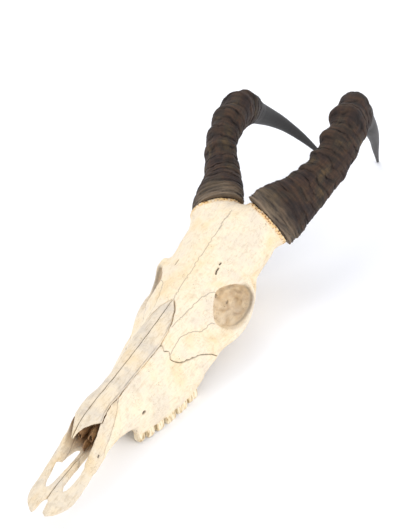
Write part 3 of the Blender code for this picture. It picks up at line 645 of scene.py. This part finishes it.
for node, piece in bones.items():
    if node != "cranium":
        weather(piece, 9 * MM, 0.5 * MM, 5)
    mark_nose(piece)
    if node.startswith("nasal"):
        paint(piece, "seam_and_shade", np.exp(-(points_of(piece)[:, 0] / (0.5 * MM)) ** 2) * 0.5)
    else:
        line = seam_distance(points_of(piece), node.startswith("premaxilla")) / (0.45 * MM)
        paint(piece, "seam_and_shade", np.exp(-line ** 2) * 0.45)
# Painted shade: a dark line along the gap between each nasal bone and the jaw, on both sides of it.
for side, sign in (("left", 1), ("right", -1)):
    edge = [place(sign * x, y, z) for x, y, z in NASAL_EDGE]
    for piece in (cranium, bones["maxilla_" + side]):
        subdivide_near(piece, edge, 2.2 * MM)
        groove(piece, edge, NASAL_GROOVE_WIDTH, NASAL_GROOVE_DEPTH, 1.0)
    nasal = bones["nasal_" + side]
    line = distance_to_path(points_of(nasal), edge) / (0.6 * MM)
    paint(nasal, "seam_and_shade", np.exp(-line ** 2) * 0.8)
print("bones ready:", ", ".join(piece.name for piece in bones.values()))

# %% [markdown]
# Inside the nose hang thin rolled leaves of bone, and a plate stands between the two halves.
# In a dry skull they are broken and brown. A leaf starts as a flat grid that is rolled up,
# and the Solidify modifier gives it the thickness of an eggshell.

# %% Leaves inside the nose
LEAF_ROWS = 40
LEAF_FRONT, LEAF_BACK = 98, 150
EGGSHELL = 0.7 * MM
PLATE_THICKNESS = 1.4 * MM


def thin_leaf(name, shape, thickness):
    """A grid whose points a shape function moves, made solid."""
    bpy.ops.object.select_all(action="DESELECT")
    bpy.ops.mesh.primitive_grid_add(x_subdivisions=LEAF_ROWS, y_subdivisions=LEAF_ROWS, size=1,
                                    location=(0, 0, 0))
    leaf = bpy.context.object
    leaf.name = name
    for vertex in leaf.data.vertices:
        vertex.co = shape(vertex.co.x + 0.5, vertex.co.y + 0.5)
    body = leaf.modifiers.new("thickness", "SOLIDIFY")
    body.thickness = thickness
    body.offset = 0
    apply_all(leaf)
    return leaf


def scroll_shape(sign):
    """A leaf that leaves the side wall and rolls up towards the middle; its front edge is broken."""
    def shape(across, down):
        angle = math.pi * (0.1 + 2.1 * across)
        radius = 4.6 - 2.6 * across
        broken = 4 * noise.noise(Vector((across * 4, sign * 3, 0)))
        y = (LEAF_FRONT + broken) + (LEAF_BACK - LEAF_FRONT - broken) * down
        spread = 0.55 + 0.45 * min(1.0, down * 2.5)
        x = 6.4 + radius * spread * math.cos(angle)
        return place(sign * x, y, 49 + 2 * radius * spread * math.sin(angle))
    return shape


def septum_shape(across, down):
    """The plate in the middle, low in front and higher behind, with a worn upper edge."""
    y = 92 + 66 * across
    top = 42 + 15 * min(1.0, across * 1.6) + 1.5 * noise.noise(Vector((across * 9, 0, 0)))
    bend = 0.6 * noise.noise(Vector((across * 3, down * 2, 7)))
    return place(bend, y, 36.6 + (top - 36.6) * down)


leaves = [thin_leaf("nose_leaf_left", scroll_shape(1), EGGSHELL),
          thin_leaf("nose_leaf_right", scroll_shape(-1), EGGSHELL),
          thin_leaf("nose_plate", septum_shape, PLATE_THICKNESS)]
for leaf in leaves:
    # The leaves get the dark brown of the deep nose, which is stain together with painted shade.
    paint(leaf, "inside", np.full(len(leaf.data.vertices), 0.9))
    print(leaf.name, "has", len(leaf.data.polygons), "faces")

# %% [markdown]
# Each upper jaw carries three small premolars and three larger, grooved molars.
# A tooth starts as a circle that is pulled into the outline of its crown, extruded up to its root
# and inset at its worn face, where hard enamel stands as a rim around softer, darker dentine.

# %% Teeth
TOOTH_SIZES = [(11, 10), (13, 12.5), (14, 14.5), (18, 17), (20, 18), (20, 17)]
TOOTH_ROW_START = Vector((18.6, 154))
TOOTH_ROW_END = Vector((34.5, 247))
TOOTH_ROW_BOW = 2.4
TOOTH_GAP = 0.8
TOOTH_LIFTS = (2.4, 1.2, 0.5, 0, 0, 0)
ROOT_TOP = 15.0
CROWN_RISES = ((1.0, 1.05), (3.5, 1.01), (4.5, 0.98), (ROOT_TOP - 9.0, 0.9))
CROWN_INSETS = ((1.1, 0.0), (0.35, -0.7), (2.0, 0.0), (0.3, -0.9))


def tooth_outline(angle, length, width, lobes):
    """The crown's outline: a rounded block, pinched between its lobes on both long sides."""
    square = 1 / max(abs(math.cos(angle)), abs(math.sin(angle))) ** 0.7
    across = math.cos(angle) * square * width / 2
    down = math.sin(angle) * square * length / 2
    share = down / length + 0.5
    ribs = 1 - 0.1 * (0.5 + 0.5 * math.cos(2 * math.pi * share * lobes)) * abs(math.cos(angle))
    fine = 1 - 0.03 * (0.5 + 0.5 * math.cos(2 * math.pi * share * lobes * 3))
    return across * ribs * fine, down


def make_tooth(name, middle, turn, length, width, lobes, lean, lift):
    """One worn cheek tooth whose crown lies on the floor, or a little over it."""
    bpy.ops.object.select_all(action="DESELECT")
    bpy.ops.mesh.primitive_circle_add(vertices=48, radius=1, fill_type="NGON", location=(0, 0, 0))
    tooth = bpy.context.object
    tooth.name = name
    for vertex in tooth.data.vertices:
        angle = math.atan2(vertex.co.y, vertex.co.x)
        across, down = tooth_outline(angle, length, width, lobes)
        vertex.co = Vector((across * 0.94, down * 0.94, 0)) * MM
    bpy.ops.object.mode_set(mode="EDIT")
    bpy.ops.mesh.select_all(action="SELECT")
    for rise, grow in CROWN_RISES:
        bpy.ops.mesh.extrude_region_move(TRANSFORM_OT_translate={"value": (0, 0, rise * MM)})
        bpy.ops.transform.resize(value=(grow, grow, 1))
    bpy.ops.object.mode_set(mode="OBJECT")
    return finish_tooth(tooth, middle, turn, lean, lift)


def finish_tooth(tooth, middle, turn, lean, rise):
    """Closes the crown, sinks its dentine, and puts the tooth in its place."""
    bm = bmesh.new()
    bm.from_mesh(tooth.data)
    rim = [edge for edge in bm.edges if edge.is_boundary]
    crown = bmesh.ops.contextual_create(bm, geom=rim)["faces"] if rim else []
    crown = crown or [min(bm.faces, key=lambda face: face.calc_center_median().z)]
    bmesh.ops.recalc_face_normals(bm, faces=bm.faces)
    for thickness, depth in CROWN_INSETS:
        bmesh.ops.inset_region(bm, faces=crown, thickness=thickness * MM, depth=depth * MM)
    for face in crown:
        face.material_index = 1
    bm.to_mesh(tooth.data)
    bm.free()
    smooth = tooth.modifiers.new("round", "SUBSURF")
    smooth.levels = smooth.render_levels = 1
    apply_all(tooth)
    tooth.data.transform(Matrix.Rotation(turn, 4, "Z") @ Matrix.Rotation(lean, 4, "Y"))
    tooth.data.transform(Matrix.Translation(place(middle.x, middle.y, 0)))
    lowest = min(vertex.co.z for vertex in tooth.data.vertices)
    tooth.data.transform(Matrix.Translation((0, 0, (0.05 + rise) * MM - lowest)))
    return tooth


def tooth_row(side):
    """The six cheek teeth of one side, joined into one piece."""
    run = (TOOTH_ROW_END - TOOTH_ROW_START).normalized()
    total = sum(length for length, _ in TOOTH_SIZES) + TOOTH_GAP * (len(TOOTH_SIZES) - 1)
    scale = (TOOTH_ROW_END - TOOTH_ROW_START).length / total
    source = random.Random(11)
    reach = 0.0
    teeth = []
    for index, (length, width) in enumerate(TOOTH_SIZES):
        share = (reach + length * scale / 2) / (TOOTH_ROW_END - TOOTH_ROW_START).length
        bow = Vector((run.y, -run.x)) * TOOTH_ROW_BOW * 4 * share * (1 - share)
        middle = TOOTH_ROW_START.lerp(TOOTH_ROW_END, share) + bow
        reach += (length + TOOTH_GAP) * scale
        lobes = 2 if length > 15 else 1
        teeth.append(make_tooth(f"tooth_{index}", middle, -math.atan2(run.x, run.y), (length - 1.3) * scale,
                                width, lobes, source.uniform(-0.01, 0.01), TOOTH_LIFTS[index]))
    bpy.ops.object.select_all(action="DESELECT")
    for tooth in teeth:
        tooth.select_set(True)
    bpy.context.view_layer.objects.active = teeth[0]
    bpy.ops.object.join()
    row = bpy.context.object
    row.name = "cheek_teeth_" + side
    if side == "right":
        row.data.transform(Matrix.Scale(-1, 4, (1, 0, 0)))
        row.data.flip_normals()
    return row


def tooth_material():
    """Enamel: hard, a little glossy and creamy, with brown stains drawn out up and down the tooth."""
    made, tree, shader = new_material("tooth_enamel")
    spot = add_node(tree, "ShaderNodeTexCoord").outputs["Object"]
    up = add_node(tree, "ShaderNodeMapping", Vector=spot, Scale=(1, 1, 0.25))
    cloud = add_node(tree, "ShaderNodeTexNoise", Vector=up.outputs[0], Scale=1 / (2.4 * MM), Detail=4.0)
    colour = colour_steps(tree, cloud.outputs["Fac"],
                          [(0.3, "#8A6A42"), (0.42, "#DCC59A"), (0.58, "#F1E4C8")])
    tree.links.new(colour, shader.inputs["Base Color"])
    shader.inputs["Roughness"].default_value = 0.34
    shader.inputs["IOR"].default_value = 1.62
    bump = add_node(tree, "ShaderNodeBump", Height=cloud.outputs["Fac"], Distance=0.3 * MM, Strength=0.5)
    tree.links.new(bump.outputs[0], shader.inputs["Normal"])
    return made


def dentine_material():
    """Dentine: softer and browner than enamel, polished by chewing."""
    made, tree, shader = new_material("worn_dentine")
    spot = add_node(tree, "ShaderNodeTexCoord").outputs["Object"]
    cloud = add_node(tree, "ShaderNodeTexNoise", Vector=spot, Scale=1 / (1.8 * MM), Detail=3.0)
    colour = colour_steps(tree, cloud.outputs["Fac"], [(0.3, "#4C3421"), (0.7, "#9C7C52")])
    tree.links.new(colour, shader.inputs["Base Color"])
    shader.inputs["Roughness"].default_value = 0.5
    shader.inputs["IOR"].default_value = 1.54
    return made


ENAMEL = tooth_material()
DENTINE = dentine_material()
tooth_rows = {}
for side in ("left", "right"):
    row = tooth_row(side)
    row.data.materials.clear()
    row.data.materials.append(ENAMEL)
    row.data.materials.append(DENTINE)
    tooth_rows[side] = row
    print(row.name, "has", len(row.data.polygons), "faces")

# %% [markdown]
# A horn is a sheath of keratin over a core of bone. It grows in rings, like a tree.
# A flat sheet of small squares is rolled into a tube along the horn's curved middle line.
# Its lower edge follows the slanting rim, so the thin layers that peel off near the base run beside the rim.
# The relief is drawn with two measures: how far a point is from the rim, and where around the horn it lies.

# %% Horns
HORN_PATHS = {
    "left": [(53.5, 502, 102.5), (71, 543, 121.5), (76, 589, 142.5), (71, 636, 146),
             (71.5, 676, 111), (64.5, 712, 75), (54, 746, 38), (44.5, 779.5, 1.2)],
    "right": [(48.5, 501, 103.5), (68, 542, 128.5), (73, 587, 142), (80.5, 634, 130),
              (77, 675, 104.5), (67, 713, 74.5), (54.5, 747, 39), (44, 779.5, 1.2)],
}
HORN_RADII = [(-44, 26), (-16, 31.4), (0, 35.2), (14, 35.2), (30, 32.2), (50, 27), (80, 22.6), (120, 22.2),
              (160, 22.2), (200, 21.8), (216, 18.6), (235, 14.4), (270, 11.1), (310, 8), (350, 5.8),
              (390, 3.4), (425, 1.8)]
HORN_RINGS = {
    "left": [(10, 0.9, 90), (22, 0.9, 90), (35, 1.2, 95), (49, 1.5, 110), (63, 2.2, 130), (79, 3.0, 145),
             (103, 4.4, 150), (133, 6.2, 145), (169, 7.6, 135), (199, 6, 120), (221, 1.6, 90)],
    "right": [(10, 0.9, 90), (22, 0.9, 90), (37, 1.2, 85), (54, 1.4, 80), (72, 1.8, 70), (91, 2.2, 60),
              (112, 3.2, 50), (136, 6.4, 45), (166, 7, 60), (192, 4.6, 70), (212, 2, 80)],
}
HORN_BASE_AXIS = Vector((0.30, 0.94, 0.17)).normalized()
HORN_BASE_BLEND = 40
HORN_WIDTH_SHARE, HORN_DEPTH_SHARE, HORN_TWIST = 0.84, 1.07, math.radians(-22)
HORN_SIDES = 144
RIM_FADE = 70
RINGED_LENGTH = 235
FINE_SLICE, COARSE_SLICE = 0.8, 2
ROOT_BELOW_BASE = 60


def smooth_path(corners, steps):
    """Points on a rounded curve through the corners."""
    padded = [2 * corners[0] - corners[1]] + list(corners) + [2 * corners[-1] - corners[-2]]
    result = []
    for index in range(1, len(padded) - 2):
        a, b, c, d = padded[index - 1:index + 3]
        for step in range(steps):
            t = step / steps
            result.append(0.5 * (2 * b + (c - a) * t + (2 * a - 5 * b + 4 * c - d) * t * t
                                 + (3 * b - a - 3 * c + d) * t * t * t))
    return result + [corners[-1]]


def middle_line(side):
    """Lengths along a horn in millimetres, with the place and direction at each."""
    corners = [Vector(HORN_BASE)] + [Vector(corner) for corner in HORN_PATHS[side]]
    path = np.array([tuple(corner) for corner in smooth_path(corners, 16)])
    reach = np.concatenate(([0], np.cumsum(np.linalg.norm(np.diff(path, axis=0), axis=1))))
    along = np.gradient(path, axis=0)
    along /= np.linalg.norm(along, axis=1)[:, None]
    blend = np.clip(reach / HORN_BASE_BLEND, 0, 1)[:, None]
    base_axis = np.array(HORN_BASE_AXIS)
    along = base_axis * (1 - blend) + along * blend
    reach = np.concatenate(([-ROOT_BELOW_BASE], reach))
    path = np.concatenate(([path[0] - base_axis * ROOT_BELOW_BASE], path))
    along = np.concatenate(([base_axis], along))
    return reach, path, along / np.linalg.norm(along, axis=1)[:, None]


def ring_height(side, reach, angle):
    """How far the growth rings stand out."""
    height = np.zeros_like(reach)
    for spot, rise, front in HORN_RINGS[side]:
        facing = np.clip(np.cos(angle - math.radians(front)), 0, 1) ** 0.6
        spread = 4.2 + rise * 0.7
        height += rise * (0.25 + 0.75 * facing) * np.exp(-((reach - spot) / spread) ** 2)
    return height


def horn_surface(side, line, reach, angle, sunk_depth):
    """Places on the horn's skin in ruler millimetres, lowered by what is worn off."""
    lengths, path, along = line
    middle = np.stack([np.interp(reach, lengths, path[:, axis]) for axis in range(3)], -1)
    ahead = np.stack([np.interp(reach, lengths, along[:, axis]) for axis in range(3)], -1)
    ahead /= np.linalg.norm(ahead, axis=-1, keepdims=True)
    across = np.cross(ahead, (0, 0, 1))
    across /= np.linalg.norm(across, axis=-1, keepdims=True)
    rise = np.cross(across, ahead)
    around = angle + HORN_TWIST
    stretch = np.hypot(HORN_WIDTH_SHARE * np.cos(around), HORN_DEPTH_SHARE * np.sin(around))
    radius = np.interp(reach, *zip(*HORN_RADII)) + ring_height(side, reach, angle)
    size = np.maximum(radius * stretch - sunk_depth, 0.8)[..., None]
    return middle + (across * np.cos(angle)[..., None] + rise * np.sin(angle)[..., None]) * size


def rim_reach(side, line, angles):
    """For each direction around the horn, how far along it the slanting rim lies."""
    reach = np.linspace(-44, 70, 400)
    grid_reach, grid_angle = np.meshgrid(reach, angles, indexing="ij")
    places = horn_surface(side, line, grid_reach, grid_angle, 0)
    beyond = (places - np.array(HORN_BASE)) @ np.array(HORN_EDGE_AXIS)
    return np.array([np.interp(0.25, beyond[:, k], reach) for k in range(len(angles))])


def wear_of_horn(from_rim, angle, seed):
    """How deep the keratin is worn at a point: peeling layers, wrapped lines and cracks along the horn."""
    round_place = Vector((math.cos(angle), math.sin(angle), 0))
    wander = noise.noise(round_place * 1.6 + Vector((seed, 0, from_rim / 32)))
    patch = noise.noise(round_place * 3 + Vector((0, seed, from_rim / 15)))
    grain = noise.noise(round_place * 26 + Vector((0, 0, from_rim / 28 + seed)))
    speck = noise.noise(round_place * 15 + Vector((seed, seed, from_rim / 3)))
    ringed = 1 - min(1, max(0, (from_rim - 195) / 40))
    lines = (from_rim / 3.6 + 0.9 * wander) % 1.0
    broad = (from_rim / 12.5 + 0.35 * wander + 0.12 * patch) % 1.0
    peel = (from_rim / 4.6 + 0.7 * wander) % 1.0
    near_rim = math.exp(-(from_rim / 24) ** 2)
    sunk_depth = lines ** 2 * (0.25 + 0.5 * patch) + broad ** 4 * (1.2 + patch) + peel ** 2 * near_rim * 1.5
    sunk_depth += max(0, speck) * 0.4 + max(0, patch) * 1.3
    return 0.35 + ringed * sunk_depth + abs(grain) * (0.1 + 0.3 * ringed)


def make_horn(side):
    """A sheet of squares rolled around the horn's middle line, closed at both ends."""
    line = middle_line(side)
    length = line[0][-1]
    steps = np.concatenate((np.arange(0, RINGED_LENGTH, FINE_SLICE),
                            np.arange(RINGED_LENGTH, length, COARSE_SLICE), [length]))
    bpy.ops.object.select_all(action="DESELECT")
    bpy.ops.mesh.primitive_grid_add(x_subdivisions=HORN_SIDES, y_subdivisions=len(steps) - 1, size=1,
                                    location=(0, 0, 0))
    horn = bpy.context.object
    horn.name = "horn_sheath_" + side
    flat = points_of(horn)
    column = np.rint((flat[:, 0] + 0.5) * HORN_SIDES).astype(int) % HORN_SIDES
    angle = column * 2 * math.pi / HORN_SIDES
    from_rim = steps[np.rint((flat[:, 1] + 0.5) * (len(steps) - 1)).astype(int)]
    seed = 3 if side == "left" else 8
    turns = np.arange(HORN_SIDES) * 2 * math.pi / HORN_SIDES
    rim = rim_reach(side, line, turns)
    rim += [0.9 * abs(noise.noise(Vector((math.cos(turn) * 7, math.sin(turn) * 7, seed))))
            for turn in turns]
    rim = rim[column]
    reach = np.minimum(from_rim + rim * (1 - smooth_share(from_rim, 0, RIM_FADE)), length)
    sunk_depth = np.array([wear_of_horn(*pair, seed) for pair in zip(from_rim, angle)])
    places = horn_surface(side, line, reach, angle, sunk_depth)
    places[:, 2] = np.maximum(places[:, 2], 0.05)
    places[:, 1] -= RULER_MIDDLE
    places[:, 0] *= 1 if side == "left" else -1
    set_points(horn, places * MM)
    wrap = np.stack([np.cos(angle) * WRAP_RADIUS, np.sin(angle) * WRAP_RADIUS, from_rim * MM], 1)
    layer = horn.data.attributes.new("wrap", "FLOAT_VECTOR", "POINT")
    layer.data.foreach_set("vector", wrap.astype(np.float32).ravel())
    paint(horn, "tip", smooth_share(from_rim, 175, 245))
    # Painted shade darkens the tips, strongly on the right horn and only a little on the left.
    paint(horn, "painted_shade", smooth_share(from_rim, 190, 260) * (0.1 if side == "left" else 0.65))
    # The colour darkens where the surface is sunk deeper, in the grooves between the rings.
    paint(horn, "sunk_depth", smooth_share(sunk_depth, 0.8, 3.2))
    only(horn)
    bpy.ops.object.mode_set(mode="EDIT")
    bpy.ops.mesh.select_all(action="SELECT")
    bpy.ops.mesh.remove_doubles(threshold=0.005 * MM)
    bpy.ops.mesh.select_all(action="DESELECT")
    bpy.ops.mesh.select_non_manifold()
    bpy.ops.mesh.fill_holes(sides=0)
    bpy.ops.mesh.select_all(action="SELECT")
    bpy.ops.mesh.normals_make_consistent(inside=False)
    bpy.ops.object.mode_set(mode="OBJECT")
    print(horn.name, "has", len(horn.data.polygons), "faces and is", round(length), "mm long")
    return horn


WRAP_RADIUS = 28 * MM
horns = {side: make_horn(side) for side in ("left", "right")}

# %% [markdown]
# Horn is keratin, like a fingernail: dark brown, fibrous and half-matt where the rings flake,
# and polished almost black on the smooth tips. The pattern reads the horn's own measures,
# so the fibres wrap around the rings and follow the bend.

# %% Horn material
LAYER_SIZE = 4.5 * MM
FIBRE_SIZE = 2.2 * MM
KERATIN_PATCH = 26 * MM


def horn_material():
    """Keratin: brown and half-matt in flaking layers, darker and smoother towards the tip."""
    made, tree, shader = new_material("horn_keratin")
    wrap = add_node(tree, "ShaderNodeAttribute", {"attribute_name": "wrap"}).outputs["Vector"]
    tip = add_node(tree, "ShaderNodeAttribute", {"attribute_name": "tip"}).outputs["Fac"]
    sunk_depth = add_node(tree, "ShaderNodeAttribute", {"attribute_name": "sunk_depth"}).outputs["Fac"]
    layers_place = add_node(tree, "ShaderNodeMapping", Vector=wrap, Scale=(0.16, 0.16, 1))
    layers = add_node(tree, "ShaderNodeTexNoise", Vector=layers_place.outputs[0], Scale=1 / LAYER_SIZE,
                      Detail=5.0, Roughness=0.55, Distortion=0.2)
    fibres_place = add_node(tree, "ShaderNodeMapping", Vector=wrap, Scale=(1, 1, 0.07))
    fibres = add_node(tree, "ShaderNodeTexNoise", Vector=fibres_place.outputs[0], Scale=1 / FIBRE_SIZE,
                      Detail=4.0)
    patches = add_node(tree, "ShaderNodeTexNoise", Vector=wrap, Scale=1 / KERATIN_PATCH,
                       Detail=4.0, Roughness=0.55)
    base = colour_steps(tree, patches.outputs["Fac"],
                        [(0.3, "#2A1F1B"), (0.42, "#3B2B25"), (0.5, "#4B3728"),
                         (0.58, "#40362C"), (0.68, "#5C4B33"), (0.8, "#3C3935")])
    layer_colour = colour_steps(tree, layers.outputs["Fac"],
                                [(0.32, "#5E5652"), (0.5, "#C8C0B8"), (0.66, "#FFF0DC")])
    colour = blend_colours(tree, 0.85, base, layer_colour, "MULTIPLY")
    fibre_colour = colour_steps(tree, fibres.outputs["Fac"], [(0.38, "#8C8683"), (0.6, "#FFFFFF")])
    colour = blend_colours(tree, 0.3, colour, fibre_colour, "MULTIPLY")
    # Darker where the surface is sunk deeper.
    colour = blend_colours(tree, sunk_depth, colour, linear("#1B1310"))
    height = add_node(tree, "ShaderNodeSeparateXYZ", Vector=wrap).outputs["Z"]
    rim_share = add_node(tree, "ShaderNodeMapRange", Value=height, From_Min=24 * MM, From_Max=3 * MM)
    rim_share = add_node(tree, "ShaderNodeMath", {"operation": "MULTIPLY"},
                         input0=rim_share.outputs[0], input1=0.55)
    rim_colour = colour_steps(tree, layers.outputs["Fac"],
                              [(0.35, "#4A423B"), (0.52, "#857562"), (0.7, "#A8937A")])
    colour = blend_colours(tree, rim_share.outputs[0], colour, rim_colour)
    tip_colour = colour_steps(tree, fibres.outputs["Fac"], [(0.35, "#1F1C1A"), (0.65, "#35302C")])
    colour = blend_colours(tree, tip, colour, tip_colour)
    # Painted shade over the horn tips, strongest on the right horn.
    painted_shade = add_node(tree, "ShaderNodeAttribute", {"attribute_name": "painted_shade"}).outputs["Fac"]
    colour = blend_colours(tree, painted_shade, colour, linear("#100E0C"))
    tree.links.new(colour, shader.inputs["Base Color"])
    gloss = add_node(tree, "ShaderNodeMapRange", Value=tip, To_Min=0.7, To_Max=0.5)
    tree.links.new(gloss.outputs[0], shader.inputs["Roughness"])
    shader.inputs["IOR"].default_value = 1.5
    shader.inputs["Specular IOR Level"].default_value = 0.32
    first = add_node(tree, "ShaderNodeBump", Height=layers.outputs["Fac"], Distance=0.35 * MM, Strength=0.5)
    second = add_node(tree, "ShaderNodeBump", Height=fibres.outputs["Fac"], Distance=0.2 * MM, Strength=0.4,
                      Normal=first.outputs[0])
    tree.links.new(second.outputs[0], shader.inputs["Normal"])
    return made


HORN = horn_material()
for horn in horns.values():
    horn.data.materials.clear()
    horn.data.materials.append(HORN)
print("horn finish:", HORN.name)

# %% [markdown]
# Every finished piece rides on the skull's one body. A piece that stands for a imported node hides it,
# and each piece names the finish it is painted with.

# %% Hand the pieces to the frame
for node, piece in bones.items():
    piece.data.materials.append(NASAL_BONE if node.startswith(("nasal", "premaxilla")) else BONE)
    only(piece)
    bpy.ops.object.shade_smooth()
    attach(piece, "root")
    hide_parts(node)
for side in ("left", "right"):
    only(tooth_rows[side])
    bpy.ops.object.shade_smooth_by_angle(angle=math.radians(40))
    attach(tooth_rows[side], "root")
    only(horns[side])
    bpy.ops.object.shade_smooth_by_angle(angle=math.radians(60))
    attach(horns[side], "root")
    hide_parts("horn_" + side)
for leaf in leaves:
    leaf.data.materials.append(BONE)
    only(leaf)
    bpy.ops.object.shade_smooth_by_angle(angle=math.radians(50))
    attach(leaf, "root")

# %% [markdown]
# The floor is a plain pale sheet, and the light is that of a small studio: a bright, even sky of
# white cloth, with one large soft lamp above and a weaker one on each side.

# %% Floor and light
bpy.ops.object.select_all(action="DESELECT")
bpy.ops.mesh.primitive_plane_add(size=14, location=(0, 0, 0))
floor = bpy.context.object
floor.name = "studio_floor"
floor_look, floor_tree, floor_shader = new_material("pale_paper")
floor_shader.inputs["Base Color"].default_value = linear("#FBFCFF")
floor_shader.inputs["Roughness"].default_value = 0.9
floor.data.materials.append(floor_look)

sky = bpy.data.worlds.new("studio_sky")
sky.use_nodes = True
sky.node_tree.nodes["Background"].inputs["Color"].default_value = linear("#FAFBFF")
sky.node_tree.nodes["Background"].inputs["Strength"].default_value = 0.92
scene.world = sky


def soft_lamp(name, spot, aim, size, power):
    """A large square lamp that points at a place."""
    bpy.ops.object.light_add(type="AREA", location=spot)
    lamp = bpy.context.object
    lamp.name = name
    lamp.data.size = size
    lamp.data.energy = power
    lamp.rotation_mode = "QUATERNION"
    lamp.rotation_quaternion = (Vector(aim) - Vector(spot)).to_track_quat("-Z", "Y")
    print(lamp.name, "gives", power, "W")


soft_lamp("soft_top", (-0.9, 0.5, 2.2), (0, 0, 0), 1.5, 14)
soft_lamp("soft_left", (-2.0, -0.8, 1.2), (0, 0, 0.05), 1.5, 8)
soft_lamp("soft_right", (1.9, -0.5, 1.1), (0, 0, 0.05), 1.6, 19)
scene.view_settings.view_transform = "Standard"
